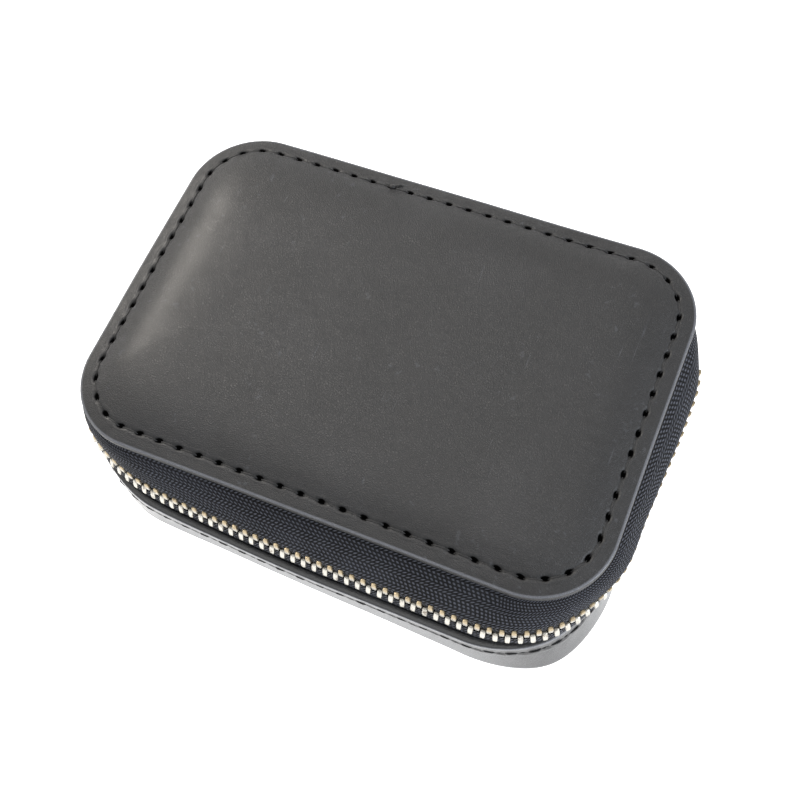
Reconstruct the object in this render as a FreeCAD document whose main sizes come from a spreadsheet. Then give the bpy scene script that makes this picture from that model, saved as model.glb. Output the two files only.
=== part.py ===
import FreeCAD, Part
import math
import os
import re
import Sketcher

# A leather coin purse: two moulded leather halves, joined by a leather hinge strip along the
# back and by a zip round the other three sides. Millimetres, +Z up. The origin is the centre
# of the flat bottom, +X runs along the purse and -Y is the side that opens.

Vector = FreeCAD.Vector
doc = FreeCAD.newDocument("CoinPurse")
sheet = doc.addObject("Spreadsheet::Sheet", "Sizes")

DRIVING_SIZES = [
    # lid outline, at its rim
    ("lid_half_length", 52.0),
    ("lid_half_width", 35.6),
    ("lid_corner", 14.4),
    ("lid_centre", 2.4),
    ("lid_rim_height", 23.5),
    ("flange_width", 3.4),
    ("flange_rise", 0.75),
    ("dome_rise", 2.4),
    ("dome_shoulder", 8.0),
    ("dome_inset", 20.0),
    ("dome_corner", 7.0),
    # base outline, at its rim
    ("base_half_length", 53.8),
    ("base_half_width", 40.8),
    ("base_corner", 22.0),
    ("base_centre", -0.2),
    ("base_rim_height", 10.5),
    ("base_draft", 0.6),
    ("bottom_round", 3.0),
    # chain outline, at mid height of the teeth
    ("chain_half_length", 55.4),
    ("chain_half_width", 38.0),
    ("chain_corner", 22.0),
    ("chain_centre", -0.6),
    ("chain_height", 14.5),
    ("chain_lean", 15.0),
    # sheet materials
    ("leather", 1.6),
    ("strip_leather", 1.2),
    ("tape", 0.6),
    ("lining", 0.5),
    ("gap", 0.05),
    # zip
    ("tooth_pitch", 2.15),
    ("tooth_width", 0.95),
    ("tooth_depth", 1.8),
    ("tooth_reach", 2.3),
    ("tooth_overlap", 0.25),
    ("jaw_length", 1.2),
    ("tape_end_length", 43.4),
    ("tail_end_length", 38.6),
    ("teeth_end", 21.7),
    # seams
    ("stitch_pitch", 4.1),
    ("stitch_length", 3.1),
    ("thread_radius", 0.28),
    ("base_seam_drop", 1.9),
    # hinge strip
    ("hinge_face", 38.0),
    ("hinge_height", 15.0),
    ("hinge_half_length", 35.0),
    ("hinge_gap", 0.3),
    # slider and pull
    ("slider_angle", 50.0),
    ("stop_angle", 69.5),
    ("slider_length", 8.6),
    ("slider_half_height", 3.2),
    ("slider_channel", 1.55),
    ("slider_plate", 0.9),
    ("flange_bar", 0.6),
    ("bail_foot", 1.0),
    ("bail_reach", 2.05),
    ("bail_bar", 0.8),
    ("bail_width", 1.6),
    ("pull_thickness", 0.7),
    ("pull_length", 11.8),
    ("pull_eye", 1.35),
    ("pull_eye_wall", 1.05),
]

for row, (alias, value) in enumerate(DRIVING_SIZES, start=1):
    sheet.set("A%d" % row, alias)
    sheet.set("B%d" % row, repr(value))
    sheet.setAlias("B%d" % row, alias)
doc.recompute()


def bound(expression):
    """The expression with each alias written as a reference to the sheet."""
    return re.sub(r"[a-z_]+", lambda word: "Sizes." + word.group(), expression)


def size(expression):
    """The number that an expression of the sheet's aliases works out to."""
    return float(sheet.evalExpression(expression))


# ---------------------------------------------------------------- bodies, sketches, lofts

def new_body(label):
    body = doc.addObject("PartDesign::Body", "Body_" + label)
    body.Label = label
    return body


def origin_plane(body, role):
    return [plane for plane in body.Origin.OriginFeatures if plane.Role == role][0]


def new_sketch(body, name, role, offset="0"):
    """A sketch parallel to one of the body's origin planes, moved along its normal."""
    sketch = body.newObject("Sketcher::SketchObject", name)
    sketch.AttachmentSupport = (origin_plane(body, role), [""])
    sketch.MapMode = "FlatFace"
    sketch.setExpression("AttachmentOffset.Base.z", bound(offset))
    return sketch


def name_constraint(sketch, index, name, expression):
    sketch.renameConstraint(index, name)
    sketch.setExpression("Constraints." + name, bound(expression))


def rounded_rectangle(body, name, outline, inset, height, corner=None):
    """A horizontal rounded rectangle: a named outline drawn in by an inset."""
    half_length = "%s_half_length - (%s)" % (outline, inset)
    half_width = "%s_half_width - (%s)" % (outline, inset)
    centre = outline + "_centre"
    corner = corner or "%s_corner - (%s)" % (outline, inset)
    sketch = new_sketch(body, name, "XY_Plane", height)
    right, top = size(half_length), size(centre + " + " + half_width)
    bottom, radius = size("%s - (%s)" % (centre, half_width)), size(corner)
    corners = [
        (right - radius, top - radius, 0),
        (-right + radius, top - radius, 90),
        (-right + radius, bottom + radius, 180),
        (right - radius, bottom + radius, 270),
    ]
    arcs = []
    for x, y, start in corners:
        circle = Part.Circle(Vector(x, y, 0), Vector(0, 0, 1), radius)
        arc = Part.ArcOfCircle(circle, math.radians(start), math.radians(start + 90))
        arcs.append(sketch.addGeometry(arc, False))
    lines = []
    for index in range(4):
        start = sketch.getPoint(arcs[index], 2)
        end = sketch.getPoint(arcs[(index + 1) % 4], 1)
        lines.append(sketch.addGeometry(Part.LineSegment(start, end), False))
    for index in range(4):
        sketch.addConstraint(Sketcher.Constraint("Tangent", arcs[index], 2, lines[index], 1))
        sketch.addConstraint(Sketcher.Constraint("Tangent", lines[index], 2, arcs[(index + 1) % 4], 1))
    sketch.addConstraint(Sketcher.Constraint("Horizontal", lines[0]))
    sketch.addConstraint(Sketcher.Constraint("Horizontal", lines[2]))
    sketch.addConstraint(Sketcher.Constraint("Vertical", lines[1]))
    sketch.addConstraint(Sketcher.Constraint("Vertical", lines[3]))
    for index in range(1, 4):
        sketch.addConstraint(Sketcher.Constraint("Equal", arcs[0], arcs[index]))
    radius_index = sketch.addConstraint(Sketcher.Constraint("Radius", arcs[0], radius))
    name_constraint(sketch, radius_index, "corner_radius", corner)
    right_index = sketch.addConstraint(Sketcher.Constraint("DistanceX", -1, 1, lines[3], 1, right))
    name_constraint(sketch, right_index, "right_side", half_length)
    left_index = sketch.addConstraint(Sketcher.Constraint("DistanceX", lines[1], 1, -1, 1, right))
    name_constraint(sketch, left_index, "left_side", half_length)
    back_index = sketch.addConstraint(Sketcher.Constraint("DistanceY", -1, 1, lines[0], 1, top))
    name_constraint(sketch, back_index, "back_side", half_width + " + " + centre)
    front_index = sketch.addConstraint(Sketcher.Constraint("DistanceY", lines[2], 1, -1, 1, -bottom))
    name_constraint(sketch, front_index, "front_side", half_width + " - " + centre)
    return sketch


def loft(body, name, sections, cut=False):
    """A ruled loft through rounded rectangles: (outline, inset, height, corner or None)."""
    sketches = []
    for index, (outline, inset, height, corner) in enumerate(sections):
        sketch = rounded_rectangle(body, "%s_%d" % (name, index), outline, inset, height, corner)
        sketches.append(sketch)
    doc.recompute()
    kind = "PartDesign::SubtractiveLoft" if cut else "PartDesign::AdditiveLoft"
    feature = body.newObject(kind, name)
    feature.Profile = sketches[0]
    feature.Sections = sketches[1:]
    feature.Ruled = True
    doc.recompute()
    return feature


def loft_ring(body, name, sections, thickness):
    """A thin wall: the sections lofted, less the same sections drawn in by the thickness."""
    loft(body, name + "_outside", sections)
    inside = []
    for outline, inset, height, corner in sections:
        inside.append((outline, inset + " + " + thickness, height, corner))
    first, last = inside[0], inside[-1]
    direction = 1 if size(last[2]) > size(first[2]) else -1
    inside[0] = (first[0], first[1], first[2] + (" - gap" if direction > 0 else " + gap"), first[3])
    inside[-1] = (last[0], last[1], last[2] + (" + gap" if direction > 0 else " - gap"), last[3])
    loft(body, name + "_inside", inside, cut=True)


def cut_box(body, name, low, high):
    """Cut away a box given by expressions for its low and high corners."""
    box = body.newObject("PartDesign::SubtractiveBox", name)
    for index, axis in enumerate("xyz"):
        box.setExpression("Placement.Base." + axis, bound(low[index]))
    for index, side in enumerate(("Length", "Width", "Height")):
        lower, upper = low[index], high[index]
        box.setExpression(side, "(%s) - (%s)" % (bound(upper), bound(lower)))
    doc.recompute()


def add_box(body, name, low, high):
    box = body.newObject("PartDesign::AdditiveBox", name)
    for index, axis in enumerate("xyz"):
        box.setExpression("Placement.Base." + axis, bound(low[index]))
    for index, side in enumerate(("Length", "Width", "Height")):
        lower, upper = low[index], high[index]
        box.setExpression(side, "(%s) - (%s)" % (bound(upper), bound(lower)))
    doc.recompute()


# ---------------------------------------------------------------- leather halves and linings

ROUND_STEPS = 5


def drafted(share, extra):
    """Inset from the base's rim outline, where the wall has this share of its draft."""
    return "base_draft*%s + %s" % (share, extra)


def bowl_sections(skin, floor, top):
    """A flat floor, a quarter round and a drafted wall: a bowl at one depth in the leather."""
    radius = "bottom_round - (%s)" % floor
    sections = []
    for step in range(ROUND_STEPS + 1):
        turn = math.radians(90.0 * step / ROUND_STEPS)
        inset = "%s + (%s)*%.4f" % (skin, radius, 1 - math.sin(turn))
        height = "%s + (%s)*%.4f" % (floor, radius, 1 - math.cos(turn))
        sections.append(("base", drafted("(1 - (%s)/base_rim_height)" % height, inset), height, None))
    sections.append(("base", drafted("(1 - (%s)/base_rim_height)" % top, skin), top, None))
    return sections


def build_base_shell():
    body = new_body("base_shell")
    loft(body, "bowl", bowl_sections("gap*0", "gap*0", "base_rim_height"))
    loft(body, "hollow", bowl_sections("leather", "leather", "base_rim_height + gap"), cut=True)


def build_base_lining():
    body = new_body("base_lining")
    skin = "leather + tape + gap*3"
    loft(body, "cup", bowl_sections(skin, "leather + gap", "base_rim_height - 0.9"))
    inner = bowl_sections(skin + " + lining", "leather + gap + lining", "base_rim_height - 0.8")
    loft(body, "hollow", inner, cut=True)
    # the hinge strip is sewn between leather and lining along the back
    cut_box(body, "strip_notch", ("-1*hinge_half_length - 0.3", "hinge_face - 1.8", "base_rim_height - 2.1"),
            ("hinge_half_length + 0.3", "hinge_face + 2", "base_rim_height"))


def build_lid_shell():
    body = new_body("lid_shell")
    rim, under = "lid_rim_height", "lid_rim_height - leather"
    loft(body, "rim", [("lid", "gap*0", under, None), ("lid", "gap*0", rim, None)])
    loft(body, "flange", [("lid", "gap*0", rim, None), ("lid", "flange_width", rim + " + flange_rise", None)])
    seam = rim + " + flange_rise"
    loft(body, "dome", [("lid", "flange_width", seam, None),
                        ("lid", "dome_shoulder", seam + " + dome_rise*0.62", "dome_corner + 2.5"),
                        ("lid", "dome_inset", seam + " + dome_rise", "dome_corner")])
    loft(body, "hollow", [("lid", "flange_width + 1.4", under + " - gap", None),
                          ("lid", "dome_shoulder + 0.3", under + " + dome_rise*0.72", "dome_corner + 2.5"),
                          ("lid", "dome_inset", under + " + flange_rise + dome_rise", "dome_corner")], cut=True)


def build_lid_lining():
    body = new_body("lid_lining")
    top = "lid_rim_height - leather - tape - gap*2"
    foot = top + " - lining"
    loft(body, "border", [("lid", "2.1", foot, None), ("lid", "2.1", top, None)])
    loft(body, "dome", [("lid", "flange_width + 1.9", top, None),
                        ("lid", "dome_shoulder + 1.0", top + " + dome_rise*0.62", "dome_corner + 2"),
                        ("lid", "dome_inset", top + " + dome_rise", "dome_corner")])
    loft(body, "hollow", [("lid", "flange_width + 2.4", foot + " - gap", None),
                          ("lid", "dome_shoulder + 1.4", foot + " + dome_rise*0.6", "dome_corner + 2"),
                          ("lid", "dome_inset", foot + " + dome_rise", "dome_corner")], cut=True)
    # the strip's stitched border takes the lining's place along the back
    cut_box(body, "strip_notch", ("-1*hinge_half_length - 0.3", "hinge_face - 5.2", "lid_rim_height - leather - 3"),
            ("hinge_half_length + 0.3", "hinge_face + 1", "lid_rim_height - leather"))


# ---------------------------------------------------------------- zip tapes and tails

LEAN = math.tan(math.radians(size("chain_lean")))


def chain_inset(rise):
    """Inset of the leaning zip plane at a rise above the middle of the chain."""
    return "%.4f + tape*-0.5" % (LEAN * rise)


def chain_section(rise):
    return ("chain", chain_inset(rise), "chain_height + %.2f" % rise, None)


def build_lower_zip_tape():
    body = new_body("lower_zip_tape")
    edge = size("tooth_reach - jaw_length")
    sections = [
        ("base", drafted("0.5", "leather + gap"), "base_rim_height*0.5", None),
        ("base", "leather + gap", "base_rim_height", None),
        chain_section(-size("tooth_reach") - 0.25),
        chain_section(-edge),
    ]
    loft_ring(body, "tape", sections, "tape")
    cut_box(body, "hinge_opening", ("-1*hinge_half_length - 1.6", "0", "0"),
            ("hinge_half_length + 1.6", "60", "lid_rim_height"))


def build_upper_zip_tape():
    body = new_body("upper_zip_tape")
    edge = size("tooth_reach - jaw_length")
    under = "lid_rim_height - leather - gap"
    sections = [
        chain_section(edge),
        chain_section(size("tooth_reach") + 0.1),
        ("lid", "0.9", under + " - tape", None),
        ("lid", "0.9", under, None),
    ]
    loft_ring(body, "tape", sections, "tape")
    loft(body, "hem", [("lid", "0.9", under + " - tape", None), ("lid", "0.9", under, None)])
    loft(body, "hem_inside", [("lid", "flange_width + 1.2", under + " - tape - gap", None),
                              ("lid", "flange_width + 1.2", under + " + gap", None)], cut=True)
    loft(body, "mouth", [("chain", "4.3", "chain_height - 3", None),
                         ("lid", "3.0", under + " - tape", None)], cut=True)
    cut_box(body, "back_opening", ("-1*tape_end_length", "chain_centre + 12", "0"),
            ("tape_end_length", "60", "lid_rim_height"))


def build_zip_tail(side, label):
    """The tape's last few millimetres behind the stops, closed and turned in to the hinge strip."""
    body = new_body(label)
    sections = [chain_section(-size("tooth_reach") + 1.3), chain_section(5.9)]
    loft_ring(body, "tape", sections, "tape")
    cut_box(body, "front_part", ("-60", "-60", "0"), ("60", "chain_centre + 12", "lid_rim_height"))
    if side < 0:
        cut_box(body, "inner_part", ("-1*tail_end_length", "0", "0"), ("60", "60", "lid_rim_height"))
        cut_box(body, "outer_part", ("-60", "0", "0"), ("-1*tape_end_length + 0.4", "60", "lid_rim_height"))
    else:
        cut_box(body, "inner_part", ("-60", "0", "0"), ("tail_end_length", "60", "lid_rim_height"))
        cut_box(body, "outer_part", ("tape_end_length - 0.4", "0", "0"), ("60", "60", "lid_rim_height"))


# ---------------------------------------------------------------- hinge strip

def build_hinge_strips():
    face, middle = "hinge_face", "hinge_height"
    lower = new_body("hinge_strip_lower")
    add_box(lower, "panel", ("-1*hinge_half_length", face + " - strip_leather", "base_rim_height - 1.9"),
            ("hinge_half_length", face, middle + " - hinge_gap*0.5"))
    upper = new_body("hinge_strip_upper")
    top = "lid_rim_height - leather - gap"
    add_box(upper, "panel", ("-1*hinge_half_length", face + " - strip_leather", middle + " + hinge_gap*0.5"),
            ("hinge_half_length", face, top))
    add_box(upper, "seam_border", ("-1*hinge_half_length", face + " - 5", top + " - strip_leather*0.8"),
            ("hinge_half_length", face, top))


def build_hinge_linings():
    face, middle = "hinge_face - strip_leather - gap", "hinge_height"
    lower = new_body("hinge_lining_lower")
    add_box(lower, "panel", ("-1*hinge_half_length", face + " - lining", "base_rim_height - 0.8"),
            ("hinge_half_length", face, middle + " - hinge_gap"))
    upper = new_body("hinge_lining_upper")
    add_box(upper, "panel", ("-1*hinge_half_length", face + " - lining", middle + " + hinge_gap"),
            ("hinge_half_length", face, "lid_rim_height - leather - strip_leather - gap*2"))


# ---------------------------------------------------------------- things that repeat along an outline

class Outline:
    """A rounded rectangle walked by arc length, anticlockwise from the front's middle."""

    def __init__(self, name, inset=0.0):
        self.half_length = size(name + "_half_length") - inset
        self.half_width = size(name + "_half_width") - inset
        self.radius = size(name + "_corner") - inset
        self.centre = size(name + "_centre")
        straight_x = self.half_length - self.radius
        straight_y = self.half_width - self.radius
        quarter = math.pi * self.radius / 2
        self.spans = [("line", straight_x), ("arc", quarter), ("line", 2 * straight_y), ("arc", quarter),
                      ("line", 2 * straight_x), ("arc", quarter), ("line", 2 * straight_y), ("arc", quarter),
                      ("line", straight_x)]
        self.length = sum(length for kind, length in self.spans)

    def at(self, distance):
        """Point and direction of travel, as (x, y, angle), at a distance along the outline."""
        distance %= self.length
        x, y, angle = 0.0, self.centre - self.half_width, 0.0
        for kind, length in self.spans:
            step = min(distance, length)
            if kind == "line":
                x += step * math.cos(angle)
                y += step * math.sin(angle)
            else:
                turn = step / self.radius
                x += self.radius * (math.sin(angle + turn) - math.sin(angle))
                y -= self.radius * (math.cos(angle + turn) - math.cos(angle))
                angle += turn
            distance -= step
            if distance <= 0:
                break
        return x, y, angle


def frame_at(x, y, z, angle, lean=0.0):
    """Placement with local X along the outline, local Y inwards and local Z up the zip plane."""
    turn = FreeCAD.Rotation(Vector(0, 0, 1), math.degrees(angle))
    tilt = FreeCAD.Rotation(Vector(1, 0, 0), -lean)
    return FreeCAD.Placement(Vector(x, y, z), turn.multiply(tilt))


def add_group(label, solids):
    feature = doc.addObject("Part::Feature", "Group_" + label)
    feature.Label = label
    feature.Shape = Part.Compound(solids)
    feature.Placement = FreeCAD.Placement()
    return feature


def tooth(direction):
    """One tooth: a rounded head, and two jaws that hold the edge of the tape."""
    depth, reach = size("tooth_depth") / 2, size("tooth_reach")
    slot = size("tape") / 2 + size("gap") * 2
    root = reach - size("jaw_length") - size("gap") * 3
    tip = -size("tooth_overlap")
    profile = [(-depth, reach), (-depth, tip + 0.5), (-depth * 0.6, tip), (depth * 0.6, tip), (depth, tip + 0.5),
               (depth, reach), (slot, reach), (slot, root), (-slot, root), (-slot, reach)]
    half = size("tooth_width") / 2
    points = [Vector(-half, y, direction * z) for y, z in profile]
    face = Part.Face(Part.makePolygon(points + points[:1]))
    return face.extrude(Vector(2 * half, 0, 0))


def build_teeth():
    path = Outline("chain")
    pitch = size("tooth_pitch")
    limit = size("teeth_end")
    for label, direction, phase in (("upper_zip_teeth", 1, 0.0), ("lower_zip_teeth", -1, 0.5)):
        solids = []
        for index in range(int(path.length / pitch) + 1):
            distance = (index + phase) * pitch - path.length / 2
            x, y, angle = path.at(distance)
            if y > limit:
                continue
            solid = tooth(direction)
            solid.Placement = frame_at(x, y, size("chain_height"), angle, size("chain_lean"))
            solids.append(solid)
        add_group(label, solids)


def stitch_row(label, outline, inset, height, slope):
    """Short threads lying on the leather, all round an outline."""
    path = Outline(outline, inset)
    count = round(path.length / size("stitch_pitch"))
    radius, length = size("thread_radius"), size("stitch_length")
    solids = []
    for index in range(count):
        x, y, angle = path.at(index * path.length / count)
        thread = Part.makeCylinder(radius, length, Vector(-length / 2, 0, 0), Vector(1, 0, 0))
        thread.Placement = frame_at(x, y, height, angle, slope)
        solids.append(thread)
    add_group(label, solids)


def build_stitching():
    radius = size("thread_radius") + 0.02
    seam_height = size("lid_rim_height + flange_rise")
    stitch_row("lid_stitching", "lid", size("flange_width") - 0.25, seam_height + radius * 0.9, 0.0)
    drop = size("base_seam_drop")
    wall_inset = size("base_draft") * drop / size("base_rim_height")
    clear = radius + 0.12
    stitch_row("base_stitching", "base", wall_inset - clear, size("base_rim_height") - drop, 0.0)


# ---------------------------------------------------------------- stops, slider and pull

def corner_frame(angle):
    """Placement on the chain at an angle round the left rear corner, from the side (0) to the back."""
    radius = size("chain_corner")
    centre_x = radius - size("chain_half_length")
    centre_y = size("chain_centre + chain_half_width - chain_corner")
    turn = math.radians(180 - angle)
    x = centre_x + radius * math.cos(turn)
    y = centre_y + radius * math.sin(turn)
    return frame_at(x, y, size("chain_height"), turn + math.pi / 2, size("chain_lean"))


def stop_clip(low, high):
    """A small metal clip closed over the tape: two cheeks and a bridge at one end."""
    depth, slot = size("tooth_depth") / 2, size("tape") / 2 + size("gap") * 1.5
    solids = []
    for near, far in ((-depth, -slot), (slot, depth)):
        solids.append(Part.makeBox(1.6, far - near, high - low, Vector(-0.8, near, low)))
    return solids


def build_stops():
    """Clips over the closed tape ends: two at the slider's end, one long one at the other."""
    tops = []
    for low, high in ((0.3, 2.2), (-1.0, 0.0)):
        for solid in stop_clip(low, high):
            solid.Placement = corner_frame(size("stop_angle"))
            tops.append(solid)
    add_group("zip_top_stops", tops)
    bottom = []
    mirror = corner_frame(size("stop_angle")).Base
    angle = math.pi / 2 + math.radians(size("stop_angle"))
    for solid in stop_clip(-1.0, 2.2):
        solid.Placement = frame_at(-mirror.x, mirror.y, mirror.z, angle, size("chain_lean"))
        bottom.append(solid)
    add_group("zip_bottom_stop", bottom)


def polygon_sketch(body, name, role, points, offset):
    """A closed outline of straight sides, each corner fixed by its distance to the axes."""
    sketch = new_sketch(body, name, role, offset)
    numbers = [(size(x), size(y)) for x, y in points]
    for index, (x, y) in enumerate(numbers):
        next_x, next_y = numbers[(index + 1) % len(numbers)]
        sketch.addGeometry(Part.LineSegment(Vector(x, y, 0), Vector(next_x, next_y, 0)), False)
    for index in range(len(numbers)):
        following = (index + 1) % len(numbers)
        sketch.addConstraint(Sketcher.Constraint("Coincident", index, 2, following, 1))
    for index, (x, y) in enumerate(points):
        across = sketch.addConstraint(Sketcher.Constraint("DistanceX", -1, 1, index, 1, numbers[index][0]))
        name_constraint(sketch, across, "across_%d" % index, x)
        along = sketch.addConstraint(Sketcher.Constraint("DistanceY", -1, 1, index, 1, numbers[index][1]))
        name_constraint(sketch, along, "along_%d" % index, y)
    return sketch


def pad(body, name, sketch, length, midplane=False):
    feature = body.newObject("PartDesign::Pad", name)
    feature.Profile = sketch
    feature.setExpression("Length", bound(length))
    feature.Midplane = midplane
    doc.recompute()
    return feature


def build_slider_body():
    body = new_body("slider_body")
    half, tall = "slider_length*0.5", "slider_half_height"
    outline = [("-1*" + half, tall + "*-0.8"), ("slider_length*-0.3", "-1*" + tall), (half, tall + "*-0.92"),
               (half, tall + "*0.92"), ("slider_length*-0.3", tall), ("-1*" + half, tall + "*0.8")]
    outer = polygon_sketch(body, "outer_outline", "XZ_Plane", outline, "slider_channel")
    pad(body, "outer_plate", outer, "slider_plate")
    # the inner plate is narrower, to clear the tapes that turn in above and below the chain
    inner_outline = [(across, "(%s)*0.66" % up) for across, up in outline]
    inner = polygon_sketch(body, "inner_outline", "XZ_Plane", inner_outline, "-1*slider_channel - slider_plate")
    post = [("slider_length*-0.42", "-0.4"), ("slider_length*-0.3", "-0.9"), ("slider_length*-0.12", "gap*0"),
            ("slider_length*-0.3", "0.9"), ("slider_length*-0.42", "0.4")]
    post_sketch = polygon_sketch(body, "post_outline", "XZ_Plane", post, "-1*slider_channel - gap")
    pad(body, "post", post_sketch, "slider_channel*2 + gap*2")
    pad(body, "inner_plate", inner, "slider_plate")
    for name, low, high in (("upper_bar", tall + " - flange_bar", tall + "*0.92"),
                            ("lower_bar", tall + "*-0.92", "flange_bar - slider_half_height")):
        bar = [("slider_length*-0.3", low), (half, low), (half, high), ("slider_length*-0.3", high)]
        sketch = polygon_sketch(body, name + "_outline", "XZ_Plane", bar, "slider_channel*0.8")
        pad(body, name, sketch, "slider_channel*0.2 + gap")
    body.Placement = corner_frame(size("slider_angle"))


def build_slider_bail():
    body = new_body("slider_bail")
    foot, reach, bar = "bail_foot", "bail_reach", "bail_bar"
    face = "-1*slider_channel - slider_plate"
    span = "slider_length*0.4"
    arch = [("-1*" + span, face), ("-1*" + span + " + " + foot, face),
            ("-1*" + span + " + " + foot, face + " - " + reach + " + " + bar),
            (span + " - " + foot, face + " - " + reach + " + " + bar), (span + " - " + foot, face), (span, face),
            (span, face + " - " + reach + " + 0.4"), (span + " - 0.5", face + " - " + reach),
            ("-1*" + span + " + 0.5", face + " - " + reach), ("-1*" + span, face + " - " + reach + " + 0.4")]
    sketch = polygon_sketch(body, "arch_outline", "XY_Plane", arch, "0")
    pad(body, "arch", sketch, "bail_width", midplane=True)
    body.Placement = corner_frame(size("slider_angle"))


def build_pull_tab():
    """A flat metal tab that hangs by its eye from the front foot of the bail."""
    body = new_body("pull_tab")
    eye_x = size("slider_length*-0.4 + bail_foot*0.5")
    sketch = new_sketch(body, "tab_outline", "XZ_Plane", "slider_channel + slider_plate + 0.15")
    eye, wall = size("pull_eye"), size("pull_eye_wall")
    outer = eye + wall
    foot = size("pull_length")
    round_end = 2.4
    centre = Vector(eye_x, 0, 0)
    lower = Vector(eye_x, -foot + round_end, 0)
    top_arc = Part.ArcOfCircle(Part.Circle(centre, Vector(0, 0, 1), outer), 0.0, math.pi)
    end_arc = Part.ArcOfCircle(Part.Circle(lower, Vector(0, 0, 1), round_end), math.pi, 2 * math.pi)
    left = Part.LineSegment(Vector(eye_x - outer, 0, 0), Vector(eye_x - round_end, lower.y, 0))
    right = Part.LineSegment(Vector(eye_x + round_end, lower.y, 0), Vector(eye_x + outer, 0, 0))
    for curve in (top_arc, left, end_arc, right, Part.Circle(centre, Vector(0, 0, 1), eye)):
        sketch.addGeometry(curve, False)
    for first, first_end, second, second_end in ((0, 2, 1, 1), (1, 2, 2, 1), (2, 2, 3, 1), (3, 2, 0, 1)):
        sketch.addConstraint(Sketcher.Constraint("Coincident", first, first_end, second, second_end))
    doc.recompute()
    pad(body, "tab", sketch, "pull_thickness")
    body.Placement = corner_frame(size("slider_angle"))


# ---------------------------------------------------------------- build, test and write

build_base_shell()
build_base_lining()
build_lid_shell()
build_lid_lining()
build_lower_zip_tape()
build_upper_zip_tape()
build_zip_tail(-1, "zip_tail_left")
build_zip_tail(1, "zip_tail_right")
build_hinge_strips()
build_hinge_linings()
build_teeth()
build_stitching()
build_stops()
build_slider_body()
build_slider_bail()
build_pull_tab()
doc.recompute()


def check_and_write():
    """Stop on any failed object or shape, then write one STEP file for each sub-part."""
    failed = [item.Name for item in doc.Objects if "Invalid" in item.State or "Error" in item.State]
    if failed:
        raise RuntimeError("failed objects: " + ", ".join(failed))
    os.makedirs("parts", exist_ok=True)
    for item in doc.Objects:
        if item.TypeId not in ("PartDesign::Body", "Part::Feature"):
            continue
        shape = item.Shape
        if shape.isNull() or not shape.isValid():
            raise RuntimeError("bad shape: " + item.Label)
        shape.exportStep(os.path.join("parts", item.Label + ".step"))
        box = shape.BoundBox
        print("%-20s %3d solids %9.1f mm3  x %.1f %.1f  y %.1f %.1f  z %.1f %.1f"
              % (item.Label, len(shape.Solids), shape.Volume,
                 box.XMin, box.XMax, box.YMin, box.YMax, box.ZMin, box.ZMax))


check_and_write()
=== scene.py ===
import math
import random

import bpy
from mathutils import Matrix, Vector, noise


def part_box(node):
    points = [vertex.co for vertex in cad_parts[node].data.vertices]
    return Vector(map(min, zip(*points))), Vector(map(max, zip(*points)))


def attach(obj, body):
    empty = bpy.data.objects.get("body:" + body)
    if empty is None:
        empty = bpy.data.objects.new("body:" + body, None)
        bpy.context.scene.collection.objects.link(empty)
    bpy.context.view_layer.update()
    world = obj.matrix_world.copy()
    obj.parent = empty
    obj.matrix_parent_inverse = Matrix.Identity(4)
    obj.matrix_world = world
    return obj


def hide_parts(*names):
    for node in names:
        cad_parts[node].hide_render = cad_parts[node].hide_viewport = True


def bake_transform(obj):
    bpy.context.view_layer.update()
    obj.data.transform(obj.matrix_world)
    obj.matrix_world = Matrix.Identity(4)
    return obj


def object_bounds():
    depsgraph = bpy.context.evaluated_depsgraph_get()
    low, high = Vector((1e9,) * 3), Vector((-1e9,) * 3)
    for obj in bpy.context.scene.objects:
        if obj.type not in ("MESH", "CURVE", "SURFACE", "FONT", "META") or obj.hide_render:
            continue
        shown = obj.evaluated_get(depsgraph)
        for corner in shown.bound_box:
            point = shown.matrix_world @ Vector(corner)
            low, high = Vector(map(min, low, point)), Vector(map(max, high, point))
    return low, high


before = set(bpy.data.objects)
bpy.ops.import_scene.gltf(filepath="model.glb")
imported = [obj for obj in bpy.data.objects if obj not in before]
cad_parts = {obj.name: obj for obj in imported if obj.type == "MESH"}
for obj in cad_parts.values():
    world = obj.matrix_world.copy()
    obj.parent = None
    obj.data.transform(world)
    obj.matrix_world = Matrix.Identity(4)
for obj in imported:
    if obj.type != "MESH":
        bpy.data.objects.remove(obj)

# A moulded leather coin purse, built round the frame of its CAD parts. Metres, +Z up.

bl_info = {
    "name": "Leather Coin Purse",
    "version": (1, 0, 0),
    "blender": (4, 5, 0),
    "location": "View3D > Sidebar > Coin Purse",
    "description": "Builds the leather, zip, cloth and metal of a moulded coin purse",
    "category": "Object",
}

MM = 0.001
SEED = 11
cad_low, cad_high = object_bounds()
lid_low, lid_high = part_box("lid_shell")
base_low, base_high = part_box("base_shell")
strip_low, strip_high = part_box("hinge_strip_lower")
tooth_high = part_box("upper_zip_teeth")[1]
border_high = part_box("hinge_strip_upper")[1]


def length_property(name, description, millimetres):
    """A length that a user can change, given in millimetres."""
    return bpy.props.FloatProperty(name=name, description=description, default=millimetres * MM,
                                   unit="LENGTH", precision=5)


def colour_property(name, description, colour):
    return bpy.props.FloatVectorProperty(name=name, description=description, default=colour, size=3,
                                         min=0.0, max=1.0, subtype="COLOR")


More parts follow.
